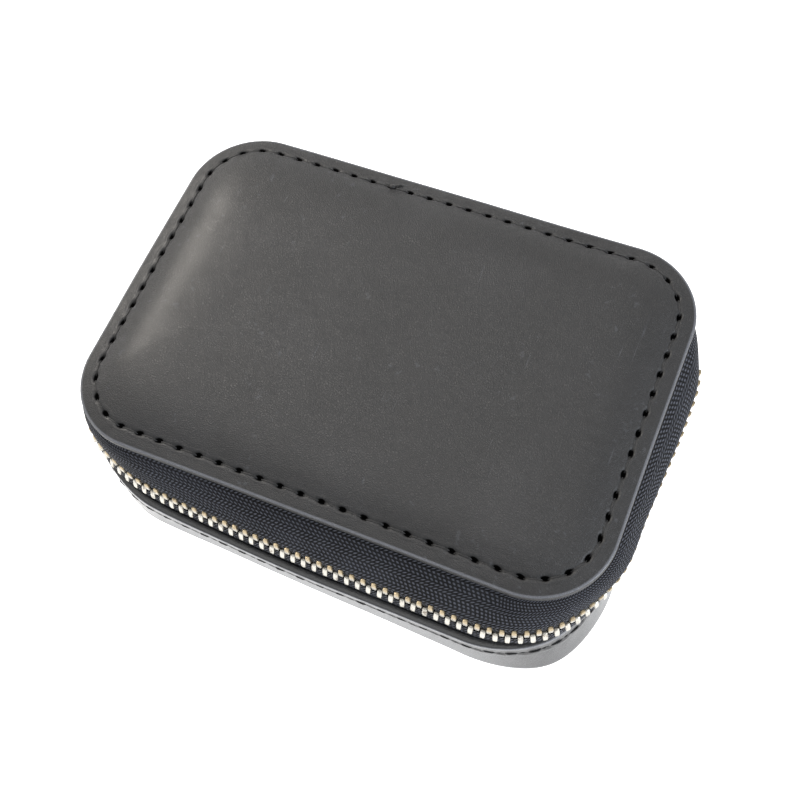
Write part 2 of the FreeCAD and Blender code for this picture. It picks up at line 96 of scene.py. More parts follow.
class PurseSizes(bpy.types.PropertyGroup):
    """Sizes of the leather halves, the zip and the seams."""
    lid_corner: length_property("Lid Corner", "Radius of the lid's corners", 14.4)
    flange_width: length_property("Flange Width", "From the lid's rim to its seam", 3.4)
    flange_rise: length_property("Flange Rise", "Height gained from the rim to the seam", 0.75)
    dome_reach: length_property("Dome Reach", "How quickly the dome levels out", 4.6)
    dome_inset: length_property("Dome Inset", "From the rim to where the dome is level", 20.0)
    dome_corner: length_property("Dome Corner", "Radius of the dome's level part", 7.0)
    base_corner: length_property("Base Corner", "Radius of the base's corners", 22.0)
    base_draft: length_property("Base Draft", "How far the wall leans in towards the bottom", 0.6)
    bottom_round: length_property("Bottom Round", "Radius between wall and bottom", 3.0)
    leather: length_property("Leather", "Thickness of the halves", 1.6)
    strip_leather: length_property("Strip Leather", "Thickness of the hinge strip", 1.2)
    edge_round: length_property("Edge Round", "Radius of the burnished edges", 0.35)
    tape: length_property("Tape", "Thickness of the zip tape", 0.55)
    lining: length_property("Lining", "Thickness of the lining", 0.45)
    chain_half_length: length_property("Chain Half Length", "Centre to the chain at the ends", 55.4)
    chain_half_width: length_property("Chain Half Width", "Centre to the chain at the front", 38.0)
    chain_corner: length_property("Chain Corner", "Radius of the chain's corners", 22.0)
    chain_centre: length_property("Chain Centre", "Middle of the chain from front to back", -0.6)
    chain_height: length_property("Chain Height", "Middle of the teeth above the bottom", 14.5)
    tooth_pitch: length_property("Tooth Pitch", "From tooth to tooth of one row", 2.15)
    stitch_pitch: length_property("Stitch Pitch", "From stitch to stitch", 4.1)
    thread_radius: length_property("Thread Radius", "Half the thickness of the thread", 0.24)
    lid_seam: length_property("Lid Seam", "From the lid's rim to its stitches", 3.15)
    base_seam: length_property("Base Seam", "From the base's rim down to its stitches", 1.9)


class PurseColours(bpy.types.PropertyGroup):
    """Colours of the finishes."""
    leather: colour_property("Leather", "Dyed leather", (0.018, 0.018, 0.019))
    leather_worn: colour_property("Worn Leather", "Rubbed and faded leather", (0.038, 0.038, 0.042))
    # pale wear marks, and the rim's colour: the burnished edge's own tone with a painted highlight
    pale_wear_and_rim_highlight: colour_property("Pale Wear and Rim Highlight", "Pale wear marks, and the burnished rim with its painted highlight", (0.17, 0.18, 0.21))
    strip: colour_property("Strip", "Leather of the hinge strip", (0.020, 0.019, 0.020))
    tape: colour_property("Tape", "Woven zip tape", (0.0035, 0.0035, 0.0045))
    # painted highlight on the tape's raised ribs, with a little real rubbed wear
    tape_wear_and_rib_highlight: colour_property("Tape Wear and Rib Highlight", "Raised ribs of the tape", (0.085, 0.092, 0.115))
    thread: colour_property("Thread", "Waxed thread", (0.005, 0.005, 0.0055))
    brass: colour_property("Brass", "Brass of the teeth", (0.36, 0.28, 0.16))
    # painted highlight: silver on the teeth's lower parts
    silver_highlight: colour_property("Silver Highlight", "Painted highlight on the teeth's lower parts", (0.56, 0.54, 0.49))
    patina: colour_property("Patina", "Dark film in the teeth's hollows", (0.10, 0.065, 0.04))
    nickel: colour_property("Nickel", "Slider, pull and stops", (0.70, 0.69, 0.67))
    lining: colour_property("Lining", "Cloth lining", (0.050, 0.047, 0.045))
    floor: colour_property("Floor", "Plain pale floor", (0.93, 0.93, 0.93))


class StageSettings(bpy.types.PropertyGroup):
    """Camera and light."""
    azimuth: bpy.props.FloatProperty(name="Azimuth", description="Camera's turn round the purse",
                                     default=math.radians(34.03), subtype="ANGLE")
    elevation: bpy.props.FloatProperty(name="Elevation", description="Camera's height angle",
                                       default=math.radians(64.71), subtype="ANGLE")
    roll: bpy.props.FloatProperty(name="Roll", description="Camera's tilt in the frame",
                                  default=math.radians(-12.28), subtype="ANGLE")
    distance: length_property("Distance", "Camera to the middle of the lid", 204.9)
    slide_right: length_property("Slide Right", "Camera moved to its right", 0.69)
    slide_up: length_property("Slide Up", "Camera moved up in its frame", -10.7)
    lens: bpy.props.FloatProperty(name="Lens", description="Focal length in millimetres",
                                  default=49.8, subtype="DISTANCE_CAMERA")
    sky: bpy.props.FloatProperty(name="Sky", description="Brightness of the surroundings", default=0.5)
    key: bpy.props.FloatProperty(name="Key Light", description="Power of the large soft light",
                                 default=3.8, subtype="POWER")
    rim: bpy.props.FloatProperty(name="Rim Light", description="Power of the warm side light",
                                 default=3.0, subtype="POWER")


# ---------------------------------------------------------------- outlines

class Outline:
    """A rounded rectangle. A station counts its spans from the front's middle towards the right:
    half the front, corner, side, corner, half the back. Stations below zero mirror them."""

    def __init__(self, half_length, half_width, corner, centre):
        self.half_length = half_length
        self.half_width = half_width
        self.corner = corner
        self.centre = centre
        self.run = half_length - corner
        self.side = half_width - corner
        quarter = math.pi / 2 * corner
        self.spans = (self.run, quarter, 2 * self.side, quarter, self.run)
        self.half = sum(self.spans)
        self.front_corner = self.run + quarter / 2
        self.rear_corner = self.half - self.front_corner

    def inset(self, by, corner=None):
        corner = self.corner - by if corner is None else corner
        return Outline(self.half_length - by, self.half_width - by, corner, self.centre)

    def mixed(self, other, share):
        """The outline part of the way to another one."""
        mine = (self.half_length, self.half_width, self.corner, self.centre)
        theirs = (other.half_length, other.half_width, other.corner, other.centre)
        return Outline(*(a + (b - a) * share for a, b in zip(mine, theirs)))

    def station(self, distance):
        """The station at a signed distance from the front's middle."""
        left = abs(distance)
        for index, span in enumerate(self.spans):
            if left <= span or index == 4:
                return math.copysign(index + min(left / span, 1.0), distance)
            left -= span

    def distance(self, station):
        index = min(int(abs(station)), 4)
        whole = sum(self.spans[:index]) + (abs(station) - index) * self.spans[index]
        return math.copysign(whole, station)

    def at(self, station):
        """(x, y, heading) at a station."""
        index = min(int(abs(station)), 4)
        share = abs(station) - index
        turn = share * math.pi / 2
        if index == 0:
            x, y, heading = self.run * share, -self.half_width, 0.0
        elif index == 1:
            x = self.run + self.corner * math.sin(turn)
            y = -self.side - self.corner * math.cos(turn)
            heading = turn
        elif index == 2:
            x, y, heading = self.half_length, self.side * (2 * share - 1), math.pi / 2
        elif index == 3:
            x = self.run + self.corner * math.cos(turn)
            y = self.side + self.corner * math.sin(turn)
            heading = math.pi / 2 + turn
        else:
            x, y, heading = self.run * (1 - share), self.half_width, math.pi
        if station < 0:
            x, heading = -x, -heading
        return x, y + self.centre, heading

    def round_trip(self, across, along, reach):
        """Signed distance for a point on a square ring: its sides meet at the corners' middles."""
        if along == -reach:
            return across / reach * self.front_corner
        if along == reach and abs(across) < reach:
            share = 1 - abs(across) / reach
            distance = self.rear_corner + share * (self.half - self.rear_corner)
        else:
            share = (along / reach + 1) / 2
            distance = self.front_corner + share * (self.rear_corner - self.front_corner)
        return math.copysign(distance, across if across else 1.0)


def sizes():
    return bpy.context.scene.purse_sizes


def colours():
    return bpy.context.scene.purse_colours


def box_outline(low, high, corner):
    return Outline((high.x - low.x) / 2, (high.y - low.y) / 2, corner, (high.y + low.y) / 2)


def lid_outline():
    return box_outline(lid_low, lid_high, sizes().lid_corner)


def base_outline():
    return box_outline(base_low, base_high, sizes().base_corner)


def chain_outline():
    """The zip's outline at the middle of its teeth."""
    s = sizes()
    return Outline(s.chain_half_length, s.chain_half_width, s.chain_corner, s.chain_centre)


LID_RIM = lid_high.z - 3.15 * MM    # the flange's top edge
TAPE_END, LOWER_TAPE_END, TAIL_END = 3.7, 3.9, 3.85    # stations
LID_HOLE = (0.8 * MM, 0.46 * MM)    # awl holes: half their length and width
BASE_HOLE = (0.7 * MM, 0.34 * MM)
INSIDE_UV = (0.0, 90.0)    # far from any seam


def lean_at(station):
    """The zip's lean inwards as it rises. On the right side its top leans outwards."""
    front, left, right = math.radians(14), math.radians(2), math.radians(-8)
    side = left if station < 0 else right
    toward_side = smooth(1.25, 2.1, abs(station))
    rear = math.radians(15) if station < 0 else math.radians(8)
    toward_rear = smooth(2.9, 3.4, abs(station))
    lean = front + (side - front) * toward_side
    return lean + (rear - lean) * toward_rear


def near(point, x, y, reach):
    """1 at a place seen from above, fading to 0 a few reaches away. All in millimetres."""
    return math.exp(-((point.x / MM - x) ** 2 + (point.y / MM - y) ** 2) / reach ** 2)


def settle(point):
    """Where a point of the base or zip lies in the finished purse, as the halves were sewn by hand.
    Low down the front right bulges and the front left is drawn in. The rim and the zip lie further
    in than that at both front corners and along the front of the right side."""
    front = smooth(22 * MM, -22 * MM, point.y)
    side = 1.0 if point.x > 0 else -1.0
    out = 1.6 * near(point, 46, -34, 9) - 1.2 * near(point, -47, -33, 10)
    low = Vector((side * 0.6 * out * MM, -0.032 * point.x * front - 0.8 * out * MM, 0.0))
    left = 0.5 * (math.hypot(point.x, 10 * MM) - point.x)
    drawn = 1.1 * near(point, -39, -35, 8)
    tucked = 0.9 * near(point, 51, -27, 7.5)
    slanted = 1.4 * near(point, 55, -14, 16)
    inwards = (0.9 * drawn + 0.5 * tucked) * MM
    high = Vector(((0.4 * drawn - 0.85 * tucked - slanted) * MM, 0.048 * left * front + inwards, 0.0))
    move = low.lerp(high, min(max((point.z / MM - 2.5) / 8.0, 0.0), 1.0))
    return point + move * (1 - smooth(15.5 * MM, 21 * MM, point.z))


def smooth(low, high, value):
    """0 below low, 1 above high, and a smooth step between."""
    share = min(max((value - low) / (high - low), 0.0), 1.0)
    return share * share * (3 - 2 * share)


def spread(first, last, count):
    """Count values from just after first up to last."""
    return [first + (last - first) * (index + 1) / count for index in range(count)]


def warp(point, amount=0.16 * MM, grain=38.0):
    """Where a point of hand-moulded leather ends up: slow bends of a fraction of a millimetre."""
    shift = noise.noise_vector(point * grain)
    return Vector((point.x + shift.x * amount, point.y + shift.y * amount, point.z))


# ---------------------------------------------------------------- mesh helpers

def deselect_all():
    bpy.ops.object.select_all(action="DESELECT")


def active_only(piece):
    deselect_all()
    piece.select_set(True)
    bpy.context.view_layer.objects.active = piece


def edit(piece, action):
    """Runs the calls in action on a piece's whole mesh, in edit mode."""
    active_only(piece)
    bpy.ops.object.mode_set(mode="EDIT")
    bpy.ops.mesh.select_all(action="SELECT")
    action()
    bpy.ops.object.mode_set(mode="OBJECT")


def join(name, pieces):
    deselect_all()
    for piece in pieces:
        piece.select_set(True)
    bpy.context.view_layer.objects.active = pieces[0]
    if len(pieces) > 1:
        bpy.ops.object.join()
    pieces[0].name = name
    pieces[0].data.name = name
    return pieces[0]


def apply_modifier(piece, kind, **settings):
    active_only(piece)
    modifier = piece.modifiers.new(kind.title(), kind)
    for name, value in settings.items():
        setattr(modifier, name, value)
    bpy.ops.object.modifier_apply(modifier=modifier.name)


def shade(piece, angle=None):
    active_only(piece)
    bpy.ops.object.shade_smooth()
    if angle:
        bpy.ops.object.shade_smooth_by_angle(angle=math.radians(angle))


def add_grid(name, across, along):
    """A flat grid of squares of side one, centred on the origin, with a UV map."""
    deselect_all()
    bpy.ops.mesh.primitive_grid_add(x_subdivisions=across, y_subdivisions=along, size=1.0)
    grid = bpy.context.object
    grid.name = name
    for vertex in grid.data.vertices:
        vertex.co.x = round((vertex.co.x + 0.5) * across)
        vertex.co.y = round((vertex.co.y + 0.5) * along)
    return grid


def paint_uv(piece, values, period=None):
    """Sets each corner's UV from its vertex. A face across the seam of a period is unrolled."""
    layer = piece.data.uv_layers[0] if piece.data.uv_layers else piece.data.uv_layers.new()
    layer.name = "UVMap"
    for face in piece.data.polygons:
        corners = [list(values[index]) for index in face.vertices]
        if period and max(u for u, v in corners) - min(u for u, v in corners) > period / 2:
            corners = [[u + period if u < 0 else u, v] for u, v in corners]
        for loop, corner in zip(face.loop_indices, corners):
            layer.data[loop].uv = corner


def finish_piece(piece, material, replaces):
    """Gives a piece its finish and hides the CAD nodes that it stands for."""
    piece.data.materials.clear()
    piece.data.materials.append(material)
    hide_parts(*replaces)
    return piece


# ---------------------------------------------------------------- leather halves

def ring_sheet(name, rings, seam=None, count=0, flip=False):
    """A square grid whose square rings become a leather half's rings, from its rim to its middle.
    A ring is (outline, height, scale, depth). UV is stitches along the seam, and depth in mm."""
    reach = len(rings) - 1
    sheet = add_grid(name, 2 * reach, 2 * reach)
    values = []
    for vertex in sheet.data.vertices:
        across, along = vertex.co.x - reach, vertex.co.y - reach
        ring = int(max(abs(across), abs(along)))
        outline, height, scale, depth = rings[reach - ring]
        if ring == 0:
            vertex.co = (0.0, outline.centre, height)
            values.append((0.0, depth / MM))
            continue
        x, y, heading = outline.at(outline.station(outline.round_trip(across, along, ring)))
        vertex.co = (x * scale, outline.centre + (y - outline.centre) * scale, height)
        walked = seam.round_trip(across, along, ring) / (2 * seam.half / count) if seam else 0.0
        values.append((walked, depth / MM))
    paint_uv(sheet, values, count or None)
    if flip:
        edit(sheet, lambda: bpy.ops.mesh.flip_normals())
    return sheet, values


def stitch_relief(walked, depth, seam_depth, hole):
    """Height of leather near a row of stitches: awl holes with a raised lip, and the pull of the
    thread between them."""
    to_hole = abs(walked - math.floor(walked) - 0.5) * 4.1 * MM
    off_seam = depth - seam_depth
    oval = math.hypot(to_hole / hole[0], off_seam / hole[1])
    pit = -0.42 * MM * (1 - smooth(0.45, 1.25, oval))
    lip = 0.09 * MM * math.exp(-((oval - 1.75) / 0.45) ** 2)
    groove = -0.10 * MM * math.exp(-(off_seam / (0.34 * MM)) ** 2)
    pillow = 0.05 * MM * math.cos(2 * math.pi * walked) * math.exp(-(off_seam / (1.6 * MM)) ** 2)
    return pit + lip + groove + pillow


def emboss(sheet, values, relief):
    """Moves each vertex along its normal by relief(point, walked, depth)."""
    normals = [Vector(normal.vector) for normal in sheet.data.vertex_normals]
    for vertex, normal, (walked, depth) in zip(sheet.data.vertices, normals, values):
        vertex.co += normal * relief(vertex.co.copy(), walked, depth * MM)


def close_half(name, outer, inner, place):
    """Joins the outer and inner skins at the rim into one wall."""
    half = join(name, [outer, inner])
    edit(half, lambda: bpy.ops.mesh.remove_doubles(threshold=0.001 * MM))
    for vertex in half.data.vertices:
        vertex.co = place(warp(vertex.co))
    shade(half)
    return half


def quarter_round(radius, steps):
    """(in, down) pairs over a rounded edge, from its side to its top."""
    turns = [math.pi / 2 * index / (steps - 1) for index in range(steps)]
    return [(radius * (1 - math.cos(turn)), radius * (1 - math.sin(turn))) for turn in turns]


def lid_height(inset):
    """Height of the lid's outer face at an inset from its rim."""
    s = sizes()
    share = min(inset / s.flange_width, 1.0)
    crown = 0.10 * MM * math.sin(math.pi * share)
    height = LID_RIM + s.flange_rise * share + crown
    climb = max(inset - s.flange_width, 0.0)
    full = 1 - math.exp(-(s.dome_inset - s.flange_width) / s.dome_reach)
    rise = lid_high.z - LID_RIM - s.flange_rise
    return height + rise * min((1 - math.exp(-climb / s.dome_reach)) / full, 1.0)


def lid_ring_outline(inset):
    """The lid's outline drawn in: its corners stay rounder than a plain inset."""
    s = sizes()
    lid = lid_outline()
    if inset <= s.flange_width:
        return lid.inset(inset)
    seam_corner = s.lid_corner - s.flange_width
    share = min((inset - s.flange_width) / (s.dome_inset - s.flange_width), 1.0)
    return lid.inset(inset, seam_corner + (s.dome_corner - seam_corner) * share ** 0.6)


def lid_under(inset):
    """Height of the lid's inner face."""
    s = sizes()
    floor = LID_RIM - s.leather
    climb = max(inset - s.flange_width - 1.4 * MM, 0.0)
    rise = lid_high.z - s.leather - floor
    full = 1 - math.exp(-(s.dome_inset - s.flange_width - 1.4 * MM) / s.dome_reach)
    return floor + rise * min((1 - math.exp(-climb / s.dome_reach)) / full, 1.0)


FLANGE_RINGS, SHOULDER_RINGS, MIDDLE_RINGS, EDGE_STEPS = 23, 30, 29, 5


def lid_rings(height_at, direction):
    """Rings over one face of the lid, from the middle of its rim's edge."""
    s = sizes()
    rim = lid_outline()
    rings = [(rim, LID_RIM - s.leather / 2, 1.0, 0.0)]
    level = height_at(s.edge_round)
    for inwards, down in quarter_round(s.edge_round, EDGE_STEPS):
        rings.append((rim.inset(inwards), level - direction * down, 1.0, inwards))
    insets = spread(s.edge_round, 5.0 * MM, FLANGE_RINGS) + spread(5.0 * MM, s.dome_inset, SHOULDER_RINGS)
    rings += [(lid_ring_outline(inset), height_at(inset), 1.0, inset) for inset in insets]
    middle = lid_ring_outline(s.dome_inset)
    for share in spread(1.0, 0.0, MIDDLE_RINGS):
        rings.append((middle, height_at(s.dome_inset), share, s.dome_inset + (1 - share) * 15 * MM))
    return rings


def build_lid_leather():
    s = sizes()
    seam = lid_outline().inset(s.lid_seam)
    count = round(2 * seam.half / s.stitch_pitch)
    outer, values = ring_sheet("lid_leather", lid_rings(lid_height, 1), seam, count)

    def relief(point, walked, depth):
        slow = noise.noise(point * 70) * 0.10 * MM + noise.noise(point * 210) * 0.035 * MM
        return stitch_relief(walked, depth, s.lid_seam, LID_HOLE) + slow * smooth(0.4 * MM, 1.5 * MM, depth)

    emboss(outer, values, relief)
    inner, _ = ring_sheet("lid_under", lid_rings(lid_under, -1), flip=True)
    move_uv_away(inner)
    lid = close_half("lid_leather", outer, inner, Vector)
    leather = leather_material("lid_leather", s.lid_seam, LID_HOLE, 0.15)
    finish_piece(lid, leather, ["lid_shell"])
    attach(lid, "lid")


def move_uv_away(piece):
    """An inner face has no seam pattern: its UVs lie far from the seam's."""
    for corner in piece.data.uv_layers[0].data:
        corner.uv = INSIDE_UV


def base_drafted(height, extra):
    s = sizes()
    return base_outline().inset(s.base_draft * (1 - height / base_high.z) + extra)


WALL_RINGS, ROUND_RINGS, FLOOR_RINGS = 20, 16, 46


def base_rings(skin, floor):
    """Rings down one face of the base, at a depth in the leather, from the top of its rim."""
    s = sizes()
    top = base_high.z
    inwards = skin == 0.0
    rings = [(base_drafted(top, s.leather / 2), top, 1.0, 0.0)]
    for index in range(EDGE_STEPS):
        turn = math.pi / 2 * index / (EDGE_STEPS - 1)
        side = s.edge_round * (1 - math.sin(turn))
        down = s.edge_round * (1 - math.cos(turn))
        extra = side if inwards else skin - side
        rings.append((base_drafted(top - down, extra), top - down, 1.0, down))
    radius = s.bottom_round - floor
    wall_end = floor + radius
    for height in spread(top - s.edge_round, wall_end, WALL_RINGS):
        rings.append((base_drafted(height, skin), height, 1.0, top - height))
    walked = top - wall_end
    for share in spread(0.0, 1.0, ROUND_RINGS):
        turn = share * math.pi / 2
        height = floor + radius * (1 - math.sin(turn))
        extra = skin + radius * (1 - math.cos(turn))
        rings.append((base_drafted(height, extra), height, 1.0, walked + radius * turn))
    middle = base_drafted(floor, skin + radius)
    for share in spread(1.0, 0.0, FLOOR_RINGS):
        rings.append((middle, floor, share, 14 * MM + (1 - share) * 30 * MM))
    return rings


def build_base_leather():
    s = sizes()
    seam = base_drafted(base_high.z - s.base_seam, 0.0)
    count = round(2 * seam.half / s.stitch_pitch)
    outer, values = ring_sheet("base_leather", base_rings(0.0, 0.0), seam, count, flip=True)

    def relief(point, walked, depth):
        slow = noise.noise(point * 80) * 0.07 * MM + noise.noise(point * 240) * 0.025 * MM
        fade = smooth(0.4 * MM, 1.2 * MM, depth) * smooth(0.8 * MM, 3.0 * MM, point.z)
        marks = stitch_relief(walked, depth, s.base_seam, BASE_HOLE)
        return marks * smooth(0, 1.0 * MM, depth) + slow * fade

    emboss(outer, values, relief)
    inner, _ = ring_sheet("base_inside", base_rings(s.leather, s.leather))
    move_uv_away(inner)
    base = close_half("base_leather", outer, inner, settle)
    leather = leather_material("base_leather", s.base_seam, BASE_HOLE, 1.0)
    finish_piece(base, leather, ["base_shell"])
    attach(base, "base")


# ---------------------------------------------------------------- threads

THREAD_SIDES, THREAD_CUTS = 8, 6


def thread_template(length, radius, dip):
    """One stitch along X: a two-ply twisted thread that goes down into a hole at each end."""
    deselect_all()
    bpy.ops.mesh.primitive_cylinder_add(vertices=THREAD_SIDES, radius=radius, depth=length,
                                        rotation=(0, math.pi / 2, 0))
    thread = bpy.context.object
    bpy.ops.object.transform_apply(location=False, rotation=True, scale=False)
    bpy.ops.object.mode_set(mode="EDIT")
    bpy.ops.mesh.select_all(action="DESELECT")
    bpy.ops.object.mode_set(mode="OBJECT")
    bpy.context.tool_settings.mesh_select_mode = (False, True, False)
    corners = thread.data.vertices
    for edge in thread.data.edges:
        first, second = (corners[index].co for index in edge.vertices)
        edge.select = abs(first.x - second.x) > length / 2
    bpy.ops.object.mode_set(mode="EDIT")
    bpy.ops.mesh.subdivide(number_cuts=THREAD_CUTS)
    bpy.ops.object.mode_set(mode="OBJECT")
    for vertex in thread.data.vertices:
        share = vertex.co.x / (length / 2)
        angle = math.atan2(vertex.co.z, vertex.co.y) + share * 2.4
        ply = radius * (0.72 + 0.36 * abs(math.cos(angle)))
        vertex.co.y = ply * math.cos(angle)
        vertex.co.z = ply * math.sin(angle) * 0.8
        vertex.co.z -= dip * smooth(0.55, 1.0, abs(share))
    shade(thread)
    return thread


def copies(name, template, placements):
    """The template repeated at each placement, as one piece of separate parts."""
    made = []
    for matrix in placements:
        part = template.copy()
        part.data = template.data.copy()
        part.data.transform(matrix)
        bpy.context.scene.collection.objects.link(part)
        made.append(part)
    bpy.data.objects.remove(template)
    return join(name, made)


def placement(x, y, z, heading, tilt=0.0):
    """Local X along an outline, local Y inwards and local Z up, tipped inwards by a tilt."""
    return Matrix.Translation((x, y, z)) @ Matrix.Rotation(heading, 4, "Z") @ Matrix.Rotation(-tilt, 4, "X")


def stitch_placements(seam, height, tilt, lift, place):
    """Places for one row of stitches, each a little different."""
    chance = random.Random(SEED)
    count = round(2 * seam.half / sizes().stitch_pitch)
    places = []
    for index in range(count):
        walked = index - count // 2
        x, y, heading = seam.at(seam.station(walked * 2 * seam.half / count))
        point = place(warp(Vector((x, y, height))))
        turn = heading + chance.uniform(-0.05, 0.05)
        matrix = placement(point.x, point.y, point.z, turn, tilt)
        places.append(matrix @ Matrix.Translation((0, 0, lift + chance.uniform(-0.03, 0.03) * MM)))
    return places


def build_stitches():
    s = sizes()
    thread = thread_material()
    seam = lid_outline().inset(s.lid_seam)
    template = thread_template(3.3 * MM, s.thread_radius * 0.75, 0.5 * MM)
    height = lid_height(s.lid_seam)
    places = stitch_placements(seam, height, 0.0, -0.07 * MM, Vector)
    lid_row = copies("lid_stitches", template, places)
    lid_row = join("lid_stitches", [lid_row] + seam_knot(seam, height))
    finish_piece(lid_row, thread, ["lid_stitching"])
    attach(lid_row, "lid")
    seam = base_drafted(base_high.z - s.base_seam, 0.0)
    template = thread_template(2.9 * MM, s.thread_radius * 1.15, 0.5 * MM)
    places = stitch_placements(seam, base_high.z - s.base_seam, -math.pi / 2 - 0.05, 0.02 * MM, settle)
    base_row = copies("base_stitches", template, places)
    finish_piece(base_row, thread, ["base_stitching"])
    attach(base_row, "base")


def seam_knot(seam, height):
    """The knot at the back where the lid's thread was tied off: a small lump and a cut end."""
    x, y, heading = seam.at(seam.station(-seam.half * 0.921))
    deselect_all()
    bpy.ops.mesh.primitive_uv_sphere_add(segments=12, ring_count=8, radius=0.5 * MM)
    lump = bpy.context.object
    for vertex in lump.data.vertices:
        twist = 1 + 0.25 * noise.noise(vertex.co * 2600)
        vertex.co = Vector((vertex.co.x * 1.25, vertex.co.y, vertex.co.z * 0.75)) * twist
    lump.data.transform(placement(x, y, height + 0.18 * MM, heading))
    shade(lump)
    end = thread_template(2.2 * MM, 0.2 * MM, 0.15 * MM)
    end.data.transform(placement(x + 0.9 * MM, y + 0.5 * MM, height + 0.25 * MM, heading + 0.6))
    return [lump, end]


# ---------------------------------------------------------------- zip tapes

def swept_tape(name, profile, start, end, steps):
    """A tape along the zip: profile is a list of (outline, height); ends are stations."""
    across = len(profile) - 1
    tape = add_grid(name, steps, across)
    guide = chain_outline()
    first, last = guide.distance(start), guide.distance(end)
    widths = [0.0]
    for (outline, height, _), (after, after_height, _) in zip(profile, profile[1:]):
        a, b = Vector((0, outline.at(0)[1], height)), Vector((0, after.at(0)[1], after_height))
        widths.append(widths[-1] + (b - a).length)
    values = []
    for vertex in tape.data.vertices:
        along, row = vertex.co.x / steps, int(vertex.co.y)
        walked = first + (last - first) * along
        outline, height, rise = profile[row]
        station = guide.station(walked)
        x, y, heading = outline.at(station)
        ripple = noise.noise(Vector((walked * 160, widths[row] * 200, 0.0))) * 0.10 * MM
        outwards = ripple - math.tan(lean_at(station)) * rise
        point = Vector((x, y, height)) + Vector((math.sin(heading), -math.cos(heading), 0.0)) * outwards
        vertex.co = settle(point)
        values.append((walked / MM, widths[row] / MM))
    paint_uv(tape, values)
    return tape, widths[-1], last - first


def tape_slope(start, end, count, bulge):
    """Profile points between two (outline, height, rise) ends, pushed outwards in the middle."""
    points = []
    for share in spread(0.0, 1.0, count):
        outline = start[0].mixed(end[0], share).inset(-bulge * math.sin(math.pi * share))
        points.append((outline, *(a + (b - a) * share for a, b in zip(start[1:], end[1:]))))
    return points


def upper_tape_profile():
    """From the hem sewn under the lid, out, down the slope and to the teeth."""
    s = sizes()
    lid = lid_outline()
    under = LID_RIM - s.leather - 0.05 * MM - s.tape / 2
    profile = [(lid.inset(inset * MM), under, 0.0) for inset in (4.4, 3.4, 2.4, 1.6)]
    profile += [(lid.inset(1.15 * MM), under - 0.06 * MM, 0.0), (lid.inset(0.9 * MM), under - 0.35 * MM, 0.0)]
    profile += tape_slope(profile[-1], at_rise(2.5), 9, 0.35 * MM)
    return profile + [at_rise(rise) for rise in (1.9, 1.3, 0.9)]


def at_rise(rise):
    """A tape profile's point at a rise, in millimetres, above the middle of the teeth."""
    return chain_outline(), sizes().chain_height + rise * MM, rise * MM


def lower_tape_profile():
    """From the teeth down, in over the rim's inner edge and down inside the base's wall."""
    s = sizes()
    profile = [at_rise(-rise) for rise in (0.9, 1.4, 1.9, 2.4)]
    inside = s.leather + 0.05 * MM + s.tape / 2
    rim = (base_drafted(base_high.z, inside), base_high.z, 0.0)
    profile += tape_slope(profile[-1], rim, 5, 0.1 * MM)
    for height in (9.6, 8.4, 7.2, 6.0, 4.9):
        profile.append((base_drafted(height * MM, inside), height * MM, 0.0))
    profile.append((base_drafted(3.4 * MM, inside), 3.4 * MM, 0.0))
    return profile


def build_tapes():
    s = sizes()
    material = tape_material()
    jobs = (("upper_tape", upper_tape_profile(), TAPE_END, "upper_zip_tape", "lid"),
            ("lower_tape", lower_tape_profile(), LOWER_TAPE_END, "lower_zip_tape", "base"))
    for name, profile, end, node, body in jobs:
        tape, width, length = swept_tape(name, profile, -end, end, 420)
        apply_modifier(tape, "SOLIDIFY", thickness=s.tape, offset=0.0)
        shade(tape, 50)
        finish_piece(tape, material, [node])
        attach(tape, body)


def build_tails():
    """The last few millimetres of tape behind the stops."""
    s = sizes()
    material = tape_material()
    rises = [-1.0, 0.0, 1.0, 2.0, 3.0, 4.0, 5.0, 5.8]
    for name, start, end, node in (("tail_right", TAPE_END, TAIL_END, "zip_tail_right"),
                                   ("tail_left", -TAIL_END, -TAPE_END, "zip_tail_left")):
        profile = [at_rise(rise) for rise in rises]
        tail, _, _ = swept_tape(name, profile, start, end, 10)
        apply_modifier(tail, "SOLIDIFY", thickness=s.tape, offset=0.0)
        shade(tail, 50)
        finish_piece(tail, material, [node])
        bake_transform(tail)


# ---------------------------------------------------------------- zip teeth

def tooth_template():
    """One tooth standing on local Z: a rounded head that narrows to its tip, and wider jaws."""
    deselect_all()
    bpy.ops.mesh.primitive_cube_add(size=1.0)
    tooth = bpy.context.object
    tooth.scale = (0.98 * MM, 1.5 * MM, 2.2 * MM)
    bpy.ops.object.transform_apply(location=False, rotation=False, scale=True)
    bpy.context.tool_settings.mesh_select_mode = (False, False, True)
    bpy.ops.object.mode_set(mode="EDIT")
    bpy.ops.mesh.select_all(action="SELECT")
    bpy.ops.transform.translate(value=(0, 0, 0.88 * MM))
    bpy.ops.mesh.bisect(plane_co=(0, 0, 1.0 * MM), plane_no=(0, 0, 1))
    bpy.ops.object.mode_set(mode="OBJECT")
    for vertex in tooth.data.vertices:
        if vertex.co.z < 0:
            vertex.co.y *= 0.66
            vertex.co.x *= 0.94
        elif vertex.co.z > 1.6 * MM:
            vertex.co.x *= 0.86
    edit(tooth, lambda: bpy.ops.mesh.bevel(offset=0.2 * MM, segments=2, affect="EDGES"))
    bpy.context.tool_settings.mesh_select_mode = (True, False, False)
    shade(tooth, 40)
    return tooth


